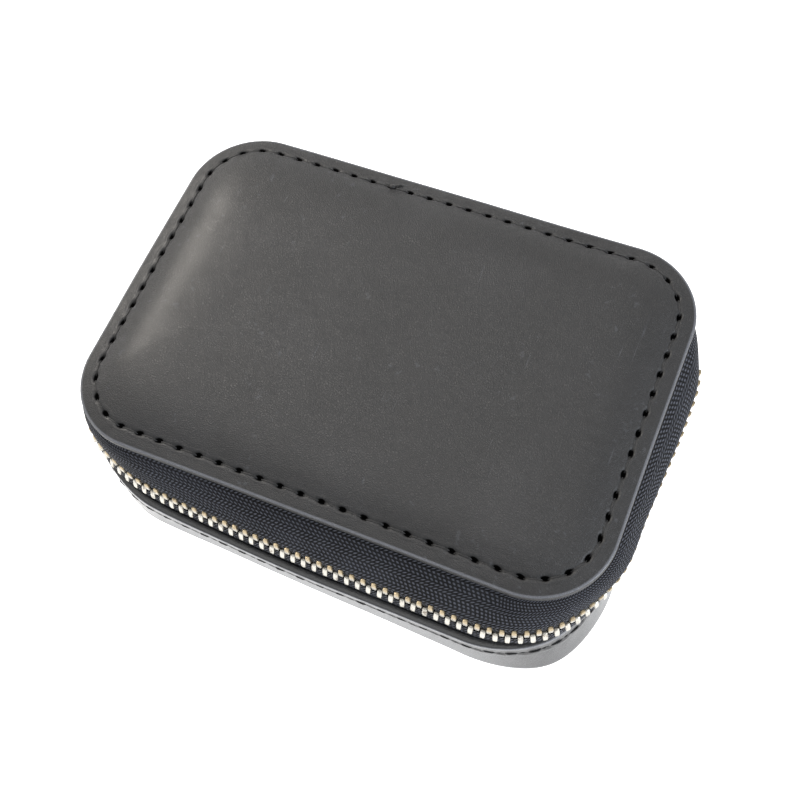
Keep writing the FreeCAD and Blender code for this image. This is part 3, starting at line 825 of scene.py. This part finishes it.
def build_teeth():
    s = sizes()
    chain = chain_outline()
    limit = tooth_high.y - 0.6 * MM
    chance = random.Random(SEED + 1)
    material = teeth_material()
    for name, node, body, up, phase in (("upper_teeth", "upper_zip_teeth", "lid", 1, 0.0),
                                        ("lower_teeth", "lower_zip_teeth", "base", -1, 0.5)):
        places = []
        for index in range(int(2 * chain.half / s.tooth_pitch) + 1):
            walked = (index + phase) * s.tooth_pitch - chain.half
            x, y, heading = chain.at(chain.station(walked))
            if abs(walked) > chain.half or y > limit:
                continue
            turn = heading + chance.uniform(-0.03, 0.03)
            point = settle(Vector((x, y, s.chain_height)))
            matrix = placement(point.x, point.y, point.z, turn, lean_at(chain.station(walked)))
            jitter = Matrix.Rotation(chance.uniform(-0.03, 0.03), 4, "Y")
            if up < 0:
                jitter = jitter @ Matrix.Rotation(math.pi, 4, "X")
            places.append(matrix @ jitter)
        row = copies(name, tooth_template(), places)
        finish_piece(row, material, [node])
        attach(row, body)


# ---------------------------------------------------------------- hinge and linings

def swept_strip(name, half_length, profile, steps, ripple):
    """A strip along X with a (y, z) profile, its ends cut straight."""
    strip = add_grid(name, steps, len(profile) - 1)
    values = []
    for vertex in strip.data.vertices:
        share, row = vertex.co.x / steps, int(vertex.co.y)
        y, z = profile[row]
        x = half_length * (2 * share - 1)
        wave = noise.noise(Vector((x * 120, z * 160, 0.0))) * ripple
        vertex.co = (x, y + wave, z)
        values.append((x / MM, z / MM))
    paint_uv(strip, values)
    return strip


def build_hinge():
    s = sizes()
    middle = strip_high.y - s.strip_leather / 2
    top = border_high.z - s.strip_leather / 2
    profile = [(middle, z) for z in [strip_low.z + 0.62 * MM * step for step in range(19)]]
    for turn in (25, 50, 75, 90):
        angle = math.radians(turn)
        profile.append((middle - 1.1 * MM * (1 - math.cos(angle)), top - 1.1 * MM * (1 - math.sin(angle))))
    profile += [(middle - inset * MM, top) for inset in (1.8, 2.6, 3.4, 4.1)]
    strip = swept_strip("hinge_leather", strip_high.x, profile, 110, 0.05 * MM)
    apply_modifier(strip, "SOLIDIFY", thickness=s.strip_leather, offset=0.0)
    apply_modifier(strip, "BEVEL", width=0.2 * MM, segments=2, limit_method="ANGLE",
                   angle_limit=math.radians(60))
    face_outwards(strip)
    shade(strip, 60)
    finish_piece(strip, strip_material(), ["hinge_strip_lower", "hinge_strip_upper"])
    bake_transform(strip)
    low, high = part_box("hinge_lining_lower")
    upper_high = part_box("hinge_lining_upper")[1]
    middle = (low.y + high.y) / 2
    heights = [low.z] + spread(low.z, upper_high.z, 20)
    cloth = swept_strip("hinge_cloth", high.x, [(middle, z) for z in heights], 90, 0.04 * MM)
    apply_modifier(cloth, "SOLIDIFY", thickness=s.lining, offset=0.0)
    face_outwards(cloth)
    shade(cloth, 50)
    finish_piece(cloth, lining_material(), ["hinge_lining_lower", "hinge_lining_upper"])
    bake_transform(cloth)


def face_outwards(piece):
    edit(piece, lambda: bpy.ops.mesh.normals_make_consistent(inside=False))


def build_base_lining():
    s = sizes()
    skin = s.leather + s.tape + 0.2 * MM + s.lining / 2
    floor = s.leather + 0.06 * MM + s.lining / 2
    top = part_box("base_lining")[1].z
    radius = s.bottom_round - floor
    rings = [(base_drafted(top, skin), top, 1.0, 0.0)]
    rings += [(base_drafted(z, skin), z, 1.0, 0.0) for z in spread(top, floor + radius, 8)]
    for turn in spread(0.0, math.pi / 2, 8):
        z = floor + radius * (1 - math.sin(turn))
        rings.append((base_drafted(z, skin + radius * (1 - math.cos(turn))), z, 1.0, 0.0))
    middle = rings[-1][0]
    rings += [(middle, floor, share, 0.0) for share in spread(1.0, 0.0, 30)]
    cloth, _ = ring_sheet("base_lining_cloth", rings)
    notch = strip_high.x + 1.0 * MM
    for vertex in cloth.data.vertices:
        point = vertex.co.copy()
        at_back = smooth(30 * MM, 34 * MM, point.y) * (1 - smooth(notch, notch + 2 * MM, abs(point.x)))
        if point.z > floor + 0.5 * MM:
            point.z -= (point.z - floor) * 0.2 * at_back
        ripple = noise.noise(point * 90) * 0.10 * MM * smooth(2.2 * MM, 4.0 * MM, point.z)
        vertex.co = settle(point + Vector((0, 0, ripple)))
    rim = base_drafted(top, skin)
    finish_lining(cloth, "base", "base_lining")


def build_lid_lining():
    s = sizes()
    low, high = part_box("lid_lining")
    border = LID_RIM - s.leather - s.tape - 0.15 * MM - s.lining / 2
    rise = high.z - s.lining / 2 - border
    start = s.flange_width + 1.9 * MM
    insets = [2.2 * MM] + spread(2.2 * MM, start, 8) + spread(start, s.dome_inset, 20)
    rings = []
    for inset in insets:
        climb = max(inset - start, 0.0)
        height = border + rise * (1 - math.exp(-climb / s.dome_reach))
        rings.append((lid_ring_outline(inset), height, 1.0, 0.0))
    outline, height = rings[-1][0], rings[-1][1]
    rings += [(outline, height, share, 0.0) for share in spread(1.0, 0.0, 24)]
    cloth, _ = ring_sheet("lid_lining_cloth", rings, flip=True)
    notch = strip_high.x + 0.6 * MM
    for vertex in cloth.data.vertices:
        point = vertex.co.copy()
        at_back = smooth(30.5 * MM, 32.6 * MM, point.y) * (1 - smooth(notch, notch + 1.5 * MM, abs(point.x)))
        point.z -= 0.85 * MM * at_back
        point.z += noise.noise(point * 90) * 0.08 * MM
        vertex.co = point
    finish_lining(cloth, "lid", "lid_lining")


def finish_lining(cloth, body, node):
    s = sizes()
    apply_modifier(cloth, "SOLIDIFY", thickness=s.lining, offset=0.0)
    shade(cloth, 50)
    finish_piece(cloth, lining_material(), [node])
    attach(cloth, body)


# ---------------------------------------------------------------- slider, pull and stops

def metal_from(node, name, body, bevel):
    """A metal piece with its CAD part's shape and softened edges."""
    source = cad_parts[node]
    piece = source.copy()
    piece.data = source.data.copy()
    piece.parent = None
    for key in list(piece.keys()):
        del piece[key]
    piece.name = name
    bpy.context.scene.collection.objects.link(piece)

    def clean():
        bpy.ops.mesh.remove_doubles(threshold=0.002 * MM)
        bpy.ops.mesh.dissolve_limited(angle_limit=math.radians(1.5))

    edit(piece, clean)
    apply_modifier(piece, "BEVEL", width=bevel, segments=3, limit_method="ANGLE",
                   angle_limit=math.radians(35))
    shade(piece, 35)
    finish_piece(piece, metal_material(), [node])
    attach(piece, body)


def build_metal():
    metal_from("slider_body", "slider", "slider", 0.22 * MM)
    metal_from("slider_bail", "bail", "slider", 0.2 * MM)
    metal_from("pull_tab", "pull", "pull", 0.18 * MM)
    metal_from("zip_top_stops", "top_stops", "base", 0.15 * MM)
    metal_from("zip_bottom_stop", "bottom_stop", "base", 0.15 * MM)


# ---------------------------------------------------------------- finishes

class Nodes:
    """Short calls for adding nodes to a node tree."""

    def __init__(self, tree):
        self.tree = tree

    def add(self, kind, inputs=(), **settings):
        made = self.tree.nodes.new(kind)
        for name, value in settings.items():
            setattr(made, name, value)
        for key, value in dict(inputs).items():
            if isinstance(value, bpy.types.NodeSocket):
                self.tree.links.new(value, made.inputs[key])
            else:
                made.inputs[key].default_value = value
        return made

    def math(self, operation, first, second=0.0, third=0.0):
        return self.add("ShaderNodeMath", {0: first, 1: second, 2: third}, operation=operation).outputs[0]

    def sum(self, first, *others):
        for other in others:
            first = self.math("ADD", first, other)
        return first

    def scaled(self, value, factor):
        return self.math("MULTIPLY", value, factor)

    def step(self, value, low, high):
        """0 below low, 1 above high, smooth between; low above high turns it round."""
        inputs = {"Value": value, "From Min": low, "From Max": high}
        return self.add("ShaderNodeMapRange", inputs, interpolation_type="SMOOTHSTEP").outputs["Result"]

    def mix(self, factor, first, second):
        made = self.add("ShaderNodeMix", data_type="RGBA")
        for key, value in ((0, factor), (6, first), (7, second)):
            if isinstance(value, bpy.types.NodeSocket):
                self.tree.links.new(value, made.inputs[key])
            else:
                made.inputs[key].default_value = value
        return made.outputs[2]

    def noise(self, vector, scale, detail=2.0, roughness=0.5):
        inputs = {"Vector": vector, "Scale": scale, "Detail": detail, "Roughness": roughness}
        return self.add("ShaderNodeTexNoise", inputs).outputs["Fac"]

    def cells(self, vector, scale):
        """Distance to the nearest edge between cells."""
        inputs = {"Vector": vector, "Scale": scale}
        made = self.add("ShaderNodeTexVoronoi", inputs, feature="DISTANCE_TO_EDGE")
        return made.outputs["Distance"]


def new_group(name, inputs, outputs):
    """An empty shader node group with named value sockets, or None if it is there already."""
    if name in bpy.data.node_groups:
        return None
    group = bpy.data.node_groups.new(name, "ShaderNodeTree")
    for socket, kind in inputs:
        group.interface.new_socket(name=socket, in_out="INPUT", socket_type=kind)
    for socket, kind in outputs:
        group.interface.new_socket(name=socket, in_out="OUTPUT", socket_type=kind)
    return group


VECTOR, VALUE = "NodeSocketVector", "NodeSocketFloat"


def grain_group():
    """Pebbled leather grain: rounded cells with fine creases between them, at a cell size in metres."""
    name = "leather_grain"
    group = new_group(name, [("Vector", VECTOR), ("Cells per Metre", VALUE)],
                      [("Height", VALUE), ("Creases", VALUE)])
    if group is None:
        return bpy.data.node_groups[name]
    n = Nodes(group)
    start = n.add("NodeGroupInput").outputs
    vector, rate = start["Vector"], start["Cells per Metre"]
    drift = n.add("ShaderNodeTexNoise", {"Vector": vector, "Scale": 420.0, "Detail": 2.0}).outputs["Color"]
    shift = n.add("ShaderNodeVectorMath", {0: drift, "Scale": 0.0007}, operation="SCALE").outputs[0]
    bent = n.add("ShaderNodeVectorMath", {0: vector, 1: shift}, operation="ADD").outputs[0]
    edge = n.cells(bent, rate)
    fine = n.cells(bent, n.scaled(rate, 2.3))
    pebble = n.step(edge, 0.0, 0.22)
    small = n.step(fine, 0.0, 0.25)
    hair = n.noise(vector, n.scaled(rate, 4.0), 2.0)
    height = n.sum(n.scaled(pebble, 0.62), n.scaled(small, 0.22), n.scaled(hair, 0.3))
    n.add("NodeGroupOutput", {"Height": height, "Creases": n.math("SUBTRACT", 1.0, pebble)})
    return group


def handling_group():
    """Wear from handling: broad rubbed patches, small pale spots and a few thin scratches."""
    name = "handling_wear"
    group = new_group(name, [("Vector", VECTOR)], [("Rubbed", VALUE), ("Spots", VALUE), ("Scratches", VALUE)])
    if group is None:
        return bpy.data.node_groups[name]
    n = Nodes(group)
    vector = n.add("NodeGroupInput").outputs["Vector"]
    rubbed = n.step(n.noise(vector, 55.0, 5.0, 0.6), 0.38, 0.72)
    spots = n.step(n.noise(vector, 700.0, 2.0, 0.6), 0.60, 0.74)
    area = n.step(n.noise(vector, 90.0, 2.0), 0.52, 0.62)
    turned = n.add("ShaderNodeMapping", {"Vector": vector, "Rotation": (0.2, 0.1, 0.7),
                                         "Scale": (1.0, 0.06, 1.0)}).outputs[0]
    lines = n.step(n.noise(turned, 1500.0, 1.0), 0.70, 0.76)
    patchy = n.scaled(lines, n.step(n.noise(vector, 130.0, 1.0), 0.55, 0.7))
    n.add("NodeGroupOutput", {"Rubbed": rubbed, "Spots": n.scaled(spots, area), "Scratches": patchy})
    return group


def seam_group():
    """Masks from a seam's UV map, stitches along and millimetres in: the awl holes, the line that
    the thread presses, and the burnished rim."""
    name = "seam_marks"
    group = new_group(name, [("UV", VECTOR), ("Seam", VALUE), ("Hole Length", VALUE), ("Hole Width", VALUE)],
                      [("Holes", VALUE), ("Line", VALUE), ("Rim", VALUE)])
    if group is None:
        return bpy.data.node_groups[name]
    n = Nodes(group)
    start = n.add("NodeGroupInput").outputs
    parts = n.add("ShaderNodeSeparateXYZ", {0: start["UV"]}).outputs
    share = n.math("FRACT", parts["X"])
    along = n.scaled(n.math("ABSOLUTE", n.math("SUBTRACT", share, 0.5)), 4.1)
    off = n.math("SUBTRACT", parts["Y"], start["Seam"])
    across = n.math("DIVIDE", off, start["Hole Width"])
    length = n.math("DIVIDE", along, start["Hole Length"])
    oval = n.math("SQRT", n.sum(n.scaled(across, across), n.scaled(length, length)))
    distance = n.math("ABSOLUTE", off)
    rim = n.scaled(n.step(parts["Y"], 0.02, 0.14), n.step(parts["Y"], 0.60, 0.28))
    n.add("NodeGroupOutput", {"Holes": n.step(oval, 1.2, 0.75), "Line": n.step(distance, 0.36, 0.12), "Rim": rim})
    return group


def weave_group():
    """Herringbone twill from coordinates in millimetres: fine slanted ribs whose slope turns at
    each stripe."""
    name = "herringbone"
    group = new_group(name, [("Vector", VECTOR), ("Pitch", VALUE), ("Stripe", VALUE)],
                      [("Height", VALUE), ("Ribs", VALUE)])
    if group is None:
        return bpy.data.node_groups[name]
    n = Nodes(group)
    start = n.add("NodeGroupInput").outputs
    parts = n.add("ShaderNodeSeparateXYZ", {0: start["Vector"]}).outputs
    stripe = n.math("PINGPONG", parts["Y"], start["Stripe"])
    slant = n.math("DIVIDE", n.sum(parts["X"], n.scaled(stripe, 0.9)), start["Pitch"])
    ribs = n.math("ABSOLUTE", n.math("SINE", n.scaled(slant, math.pi)))
    crossed = n.scaled(n.math("DIVIDE", parts["Y"], start["Pitch"]), math.pi * 1.15)
    threads = n.math("ABSOLUTE", n.math("SINE", crossed))
    fuzz = n.noise(start["Vector"], 9.0, 2.0)
    height = n.sum(n.scaled(ribs, 0.7), n.scaled(threads, 0.25), n.scaled(fuzz, 0.25))
    n.add("NodeGroupOutput", {"Height": height, "Ribs": n.scaled(ribs, threads)})
    return group


def place_group(n, group, inputs):
    """A group placed in a material with its own values."""
    made = n.tree.nodes.new("ShaderNodeGroup")
    made.node_tree = group
    for key, value in inputs.items():
        if isinstance(value, bpy.types.NodeSocket):
            n.tree.links.new(value, made.inputs[key])
        else:
            made.inputs[key].default_value = value
    return made.outputs


def made_already(name):
    return bpy.data.materials.get(name)


def solid(colour):
    return (colour[0], colour[1], colour[2], 1.0)


def new_material(name, **settings):
    """A material whose Principled BSDF has these values, with its node calls and its coordinates."""
    material = bpy.data.materials.new(name)
    material.use_nodes = True
    n = Nodes(material.node_tree)
    shader = material.node_tree.nodes["Principled BSDF"]
    for key, value in settings.items():
        shader.inputs[key.replace("_", " ")].default_value = value
    where = n.add("ShaderNodeTexCoord").outputs
    return material, n, shader, where


def connect(n, shader, distance, height, **outputs):
    """Links outputs to the shader's sockets, and a height in metres-per-unit to its normal."""
    for key, value in outputs.items():
        n.tree.links.new(value, shader.inputs[key.replace("_", " ")])
    bump = n.add("ShaderNodeBump", {"Height": height, "Distance": distance, "Strength": 1.0})
    n.tree.links.new(bump.outputs["Normal"], shader.inputs["Normal"])


def leather_material(name, seam, hole, gloss):
    c = colours()
    material, n, shader, where = new_material(name, IOR=1.5, Coat_Roughness=0.28)
    grain = place_group(n, grain_group(), {"Vector": where["Object"], "Cells per Metre": 2300.0})
    wear = place_group(n, handling_group(), {"Vector": where["Object"]})
    marks = place_group(n, seam_group(), {"UV": where["UV"], "Seam": seam / MM, "Hole Length": hole[0] / MM,
                                          "Hole Width": hole[1] / MM})
    colour = n.mix(n.scaled(wear["Rubbed"], 0.25), solid(c.leather), solid(c.leather_worn))
    # painted shade: the grain's creases are darkened, standing in for the shade that falls into them
    colour = n.mix(n.scaled(grain["Creases"], 0.25), colour, solid([v * 0.6 for v in c.leather]))
    colour = n.mix(n.scaled(n.sum(wear["Spots"], wear["Scratches"]), 0.16), colour, solid(c.pale_wear_and_rim_highlight))
    # the rim: partly the burnished edge's own paler tone, partly a painted highlight of the bright line that the
    # rim catches
    colour = n.mix(n.scaled(marks["Rim"], 0.65), colour, solid(c.pale_wear_and_rim_highlight))
    # painted shade: the leather is darkened along the line that the thread presses, standing in for the shade in
    # that groove
    colour = n.mix(n.scaled(marks["Line"], 0.7), colour, solid([v * 0.3 for v in c.leather]))
    # painted shade: the awl holes are painted black
    colour = n.mix(marks["Holes"], colour, solid((0.003, 0.003, 0.003)))
    rough = n.sum(0.43, n.scaled(wear["Rubbed"], -0.03), n.scaled(grain["Creases"], 0.14),
                  n.scaled(marks["Rim"], -0.2), n.scaled(marks["Holes"], 0.4))
    # painted shade: a hole is painted black, as black metal with no coat, which takes away the leather's
    # reflection inside it
    shut = n.math("SUBTRACT", 1.0, marks["Holes"])
    coat = n.scaled(n.math("MULTIPLY_ADD", marks["Rim"], 0.5, gloss), shut)
    height = n.sum(grain["Height"], n.scaled(wear["Scratches"], -0.3))
    connect(n, shader, 0.06 * MM, height, Base_Color=colour, Roughness=rough, Coat_Weight=coat,
            Metallic=marks["Holes"])
    return material


def strip_material():
    c = colours()
    material, n, shader, where = new_material("folded_leather", IOR=1.5, Coat_Roughness=0.35)
    grain = place_group(n, grain_group(), {"Vector": where["Object"], "Cells per Metre": 1600.0})
    wear = place_group(n, handling_group(), {"Vector": where["Object"]})
    colour = n.mix(n.scaled(wear["Rubbed"], 0.5), solid(c.strip), solid(c.leather_worn))
    # painted shade: the grain's creases are darkened, standing in for the shade that falls into them
    colour = n.mix(n.scaled(grain["Creases"], 0.4), colour, solid([v * 0.5 for v in c.strip]))
    fold = n.add("ShaderNodeSeparateXYZ", {0: where["Object"]}).outputs["Z"]
    bend = n.step(n.math("ABSOLUTE", n.math("SUBTRACT", fold, 15.0 * MM)), 2.5 * MM, 0.5 * MM)
    stretched = n.add("ShaderNodeMapping", {"Vector": where["Object"], "Scale": (0.12, 1.0, 1.0)}).outputs[0]
    wrinkle = n.scaled(n.noise(stretched, 1900.0, 3.0), bend)
    rough = n.sum(0.5, n.scaled(grain["Creases"], 0.15), n.scaled(bend, -0.08))
    height = n.sum(grain["Height"], n.scaled(wrinkle, 2.2))
    coat = n.math("MULTIPLY_ADD", bend, 0.1, 0.1)
    connect(n, shader, 0.05 * MM, height, Base_Color=colour, Roughness=rough, Coat_Weight=coat)
    return material


def tape_material():
    if made_already("woven_tape"):
        return made_already("woven_tape")
    c = colours()
    material, n, shader, where = new_material("woven_tape", Sheen_Weight=0.03, Sheen_Roughness=0.4,
                                              Specular_IOR_Level=0.2)
    shader.inputs["Sheen Tint"].default_value = (0.75, 0.82, 1.0, 1.0)
    weave = place_group(n, weave_group(), {"Vector": where["UV"], "Pitch": 0.8, "Stripe": 1.7})
    wear = place_group(n, handling_group(), {"Vector": where["Object"]})
    # the raised ribs are painted lighter: a painted highlight on the ribs' tops, plus a little real rubbed wear
    ribs = n.math("MULTIPLY_ADD", wear["Rubbed"], 0.12, n.step(weave["Ribs"], 0.35, 0.95))
    colour = n.mix(ribs, solid(c.tape), solid(c.tape_wear_and_rib_highlight))
    rough = n.sum(0.75, n.scaled(weave["Ribs"], -0.15))
    connect(n, shader, 0.3 * MM, weave["Height"], Base_Color=colour, Roughness=rough)
    return material


def lining_material():
    if made_already("cotton_lining"):
        return made_already("cotton_lining")
    c = colours()
    material, n, shader, where = new_material("cotton_lining", Sheen_Weight=0.3, Sheen_Roughness=0.5)
    in_millimetres = {"Vector": where["Object"], "Scale": (1000.0, 1000.0, 1000.0)}
    millimetres = n.add("ShaderNodeMapping", in_millimetres).outputs[0]
    weave = place_group(n, weave_group(), {"Vector": millimetres, "Pitch": 0.45, "Stripe": 40.0})
    wear = place_group(n, handling_group(), {"Vector": where["Object"]})
    # painted shade: the hollows between the lining's threads are darkened
    colour = n.mix(n.scaled(weave["Ribs"], 0.5), solid([v * 0.6 for v in c.lining]), solid(c.lining))
    colour = n.mix(n.scaled(wear["Rubbed"], 0.25), colour, solid([v * 1.6 for v in c.lining]))
    rough = n.sum(0.85, n.scaled(weave["Ribs"], -0.1))
    connect(n, shader, 0.06 * MM, weave["Height"], Base_Color=colour, Roughness=rough)
    return material


def thread_material():
    c = colours()
    material, n, shader, where = new_material("waxed_thread", Sheen_Weight=0.2)
    fibres = n.noise(where["Object"], 5200.0, 3.0, 0.6)
    colour = n.mix(n.step(fibres, 0.45, 0.75), solid(c.thread), solid([v * 3.2 for v in c.thread]))
    rough = n.math("MULTIPLY_ADD", fibres, 0.25, 0.42)
    connect(n, shader, 0.04 * MM, fibres, Base_Color=colour, Roughness=rough)
    return material


def teeth_material():
    c = colours()
    material, n, shader, where = new_material("worn_brass")
    height = n.add("ShaderNodeSeparateXYZ", {0: where["Object"]}).outputs["Z"]
    rise = n.math("SUBTRACT", height, sizes().chain_height)
    # painted highlight: the teeth are silver low down and on the whole lower row, and only the upper row's tops
    # are brass, standing in for the bright reflection the lower parts catch
    brass = n.step(rise, 0.5 * MM, 1.7 * MM)
    dirt = n.noise(where["Object"], 950.0, 4.0, 0.6)
    colour = n.mix(n.scaled(brass, 0.85), solid(c.silver_highlight), solid(c.brass))
    colour = n.mix(n.step(dirt, 0.55, 0.75), colour, solid(c.patina))
    rough = n.sum(0.27, n.scaled(dirt, 0.28))
    metal = n.math("SUBTRACT", 1.0, n.scaled(n.step(dirt, 0.6, 0.8), 0.4))
    scratch = n.noise(where["Object"], 6500.0, 2.0)
    connect(n, shader, 0.02 * MM, n.sum(scratch, dirt), Base_Color=colour, Roughness=rough, Metallic=metal)
    return material


def metal_material():
    if made_already("plated_metal"):
        return made_already("plated_metal")
    c = colours()
    material, n, shader, where = new_material("plated_metal", Metallic=1.0)
    wear = place_group(n, handling_group(), {"Vector": where["Object"]})
    cloud = n.noise(where["Object"], 380.0, 4.0, 0.6)
    colour = n.mix(n.step(cloud, 0.4, 0.8), solid(c.nickel), solid([v * 0.72 for v in c.brass]))
    fine = n.noise(where["Object"], 4200.0, 2.0)
    rough = n.sum(0.18, n.scaled(cloud, 0.2), n.scaled(wear["Scratches"], 0.2))
    height = n.sum(n.scaled(fine, 0.6), n.scaled(wear["Scratches"], -1.0))
    connect(n, shader, 0.012 * MM, height, Base_Color=colour, Roughness=rough)
    return material


# ---------------------------------------------------------------- stage

def add_light(name, place, target, side, power, colour):
    deselect_all()
    bpy.ops.object.light_add(type="AREA", location=place)
    light = bpy.context.object
    light.name = name
    light.data.shape = "SQUARE"
    light.data.size = side
    light.data.energy = power
    light.data.color = colour
    light.rotation_euler = (target - Vector(place)).to_track_quat("-Z", "Y").to_euler()


def add_camera():
    stage = bpy.context.scene.purse_stage
    a, e, roll = stage.azimuth, stage.elevation, stage.roll
    back = Vector((math.sin(a) * math.cos(e), -math.cos(a) * math.cos(e), math.sin(e)))
    level = Vector((math.cos(a), math.sin(a), 0.0))
    up = back.cross(level)
    right = level * math.cos(roll) + up * math.sin(roll)
    top = up * math.cos(roll) - level * math.sin(roll)
    target = Vector((0, (lid_low.y + lid_high.y) / 2, LID_RIM))
    place = target + back * stage.distance + level * stage.slide_right + up * stage.slide_up
    deselect_all()
    bpy.ops.object.camera_add(location=place)
    camera = bpy.context.object
    camera.name = "studio_camera"
    camera.rotation_euler = Matrix((right, top, back)).transposed().to_euler()
    camera.data.sensor_width = 36.0
    camera.data.lens = stage.lens
    camera.data.clip_start = 0.01
    camera.data.clip_end = 100.0
    bpy.context.scene.camera = camera


def build_stage():
    stage = bpy.context.scene.purse_stage
    deselect_all()
    bpy.ops.mesh.primitive_plane_add(size=60.0, location=(0, 0, -0.2 * MM))
    floor = bpy.context.object
    floor.name = "floor"
    material, n, shader, where = new_material("floor", Roughness=0.8, Emission_Strength=1.0)
    shader.inputs["Base Color"].default_value = solid(colours().floor)
    shader.inputs["Emission Color"].default_value = (1.0, 1.0, 1.0, 1.0)
    floor.data.materials.append(material)
    world = bpy.data.worlds.new("studio")
    world.use_nodes = True
    world.node_tree.nodes["Background"].inputs["Color"].default_value = (1.0, 1.0, 1.0, 1.0)
    world.node_tree.nodes["Background"].inputs["Strength"].default_value = stage.sky
    bpy.context.scene.world = world
    bpy.context.scene.view_settings.view_transform = "Standard"
    middle = (cad_low + cad_high) / 2
    add_light("key", (-0.15, 0.25, 1.0), middle, 0.9, stage.key, (1.0, 1.0, 1.0))
    add_light("side", (-0.62, 0.34, 0.62), middle, 0.22, stage.rim * 1.7, (1.0, 0.94, 0.86))
    add_light("right", (0.95, -0.1, 0.32), middle, 0.4, stage.rim * 2.0, (0.86, 0.92, 1.0))
    add_camera()


# ---------------------------------------------------------------- operators

class PURSE_OT_lid_leather(bpy.types.Operator):
    """Mould the lid's leather"""
    bl_idname = "purse.lid_leather"
    bl_label = "Lid Leather"
    bl_options = {"REGISTER", "UNDO"}

    def execute(self, context):
        build_lid_leather()
        return {"FINISHED"}


class PURSE_OT_base_leather(bpy.types.Operator):
    """Mould the base's leather"""
    bl_idname = "purse.base_leather"
    bl_label = "Base Leather"
    bl_options = {"REGISTER", "UNDO"}

    def execute(self, context):
        build_base_leather()
        return {"FINISHED"}


class PURSE_OT_stitches(bpy.types.Operator):
    """Sew both seams"""
    bl_idname = "purse.stitches"
    bl_label = "Stitches"
    bl_options = {"REGISTER", "UNDO"}

    def execute(self, context):
        build_stitches()
        return {"FINISHED"}


class PURSE_OT_zip_tapes(bpy.types.Operator):
    """Weave the zip's tapes and their ends"""
    bl_idname = "purse.zip_tapes"
    bl_label = "Zip Tapes"
    bl_options = {"REGISTER", "UNDO"}

    def execute(self, context):
        build_tapes()
        build_tails()
        return {"FINISHED"}


class PURSE_OT_zip_teeth(bpy.types.Operator):
    """Clamp the teeth on the tapes"""
    bl_idname = "purse.zip_teeth"
    bl_label = "Zip Teeth"
    bl_options = {"REGISTER", "UNDO"}

    def execute(self, context):
        build_teeth()
        return {"FINISHED"}


class PURSE_OT_hinge(bpy.types.Operator):
    """Cut the hinge strip and its cloth"""
    bl_idname = "purse.hinge"
    bl_label = "Hinge"
    bl_options = {"REGISTER", "UNDO"}

    def execute(self, context):
        build_hinge()
        return {"FINISHED"}


class PURSE_OT_linings(bpy.types.Operator):
    """Line both halves"""
    bl_idname = "purse.linings"
    bl_label = "Linings"
    bl_options = {"REGISTER", "UNDO"}

    def execute(self, context):
        build_base_lining()
        build_lid_lining()
        return {"FINISHED"}


class PURSE_OT_zip_metal(bpy.types.Operator):
    """Finish the slider, pull and stops"""
    bl_idname = "purse.zip_metal"
    bl_label = "Slider and Stops"
    bl_options = {"REGISTER", "UNDO"}

    def execute(self, context):
        build_metal()
        return {"FINISHED"}


class PURSE_OT_stage(bpy.types.Operator):
    """Set the floor, lights and camera"""
    bl_idname = "purse.stage"
    bl_label = "Stage"
    bl_options = {"REGISTER", "UNDO"}

    def execute(self, context):
        build_stage()
        return {"FINISHED"}


OPERATORS = (PURSE_OT_lid_leather, PURSE_OT_base_leather, PURSE_OT_stitches,
             PURSE_OT_zip_tapes, PURSE_OT_zip_teeth, PURSE_OT_hinge,
             PURSE_OT_linings, PURSE_OT_zip_metal, PURSE_OT_stage)


class PURSE_PT_panel(bpy.types.Panel):
    """Lists the purse's sizes, colours and pieces."""
    bl_idname = "PURSE_PT_panel"
    bl_label = "Coin Purse"
    bl_space_type = "VIEW_3D"
    bl_region_type = "UI"
    bl_category = "Coin Purse"

    def draw(self, context):
        for operator in OPERATORS:
            self.layout.operator(operator.bl_idname)
        for group in (context.scene.purse_sizes, context.scene.purse_colours, context.scene.purse_stage):
            for name in group.__annotations__:
                self.layout.prop(group, name)


GROUPS = (("purse_sizes", PurseSizes), ("purse_colours", PurseColours), ("purse_stage", StageSettings))


def register():
    for name, group in GROUPS:
        bpy.utils.register_class(group)
        setattr(bpy.types.Scene, name, bpy.props.PointerProperty(type=group))
    for operator in OPERATORS:
        bpy.utils.register_class(operator)
    bpy.utils.register_class(PURSE_PT_panel)


def unregister():
    bpy.utils.unregister_class(PURSE_PT_panel)
    for operator in reversed(OPERATORS):
        bpy.utils.unregister_class(operator)
    for name, group in reversed(GROUPS):
        delattr(bpy.types.Scene, name)
        bpy.utils.unregister_class(group)


def main():
    register()
    for operator in OPERATORS:
        family, name = operator.bl_idname.split(".")
        getattr(getattr(bpy.ops, family), name)()


if __name__ == "__main__":
    main()
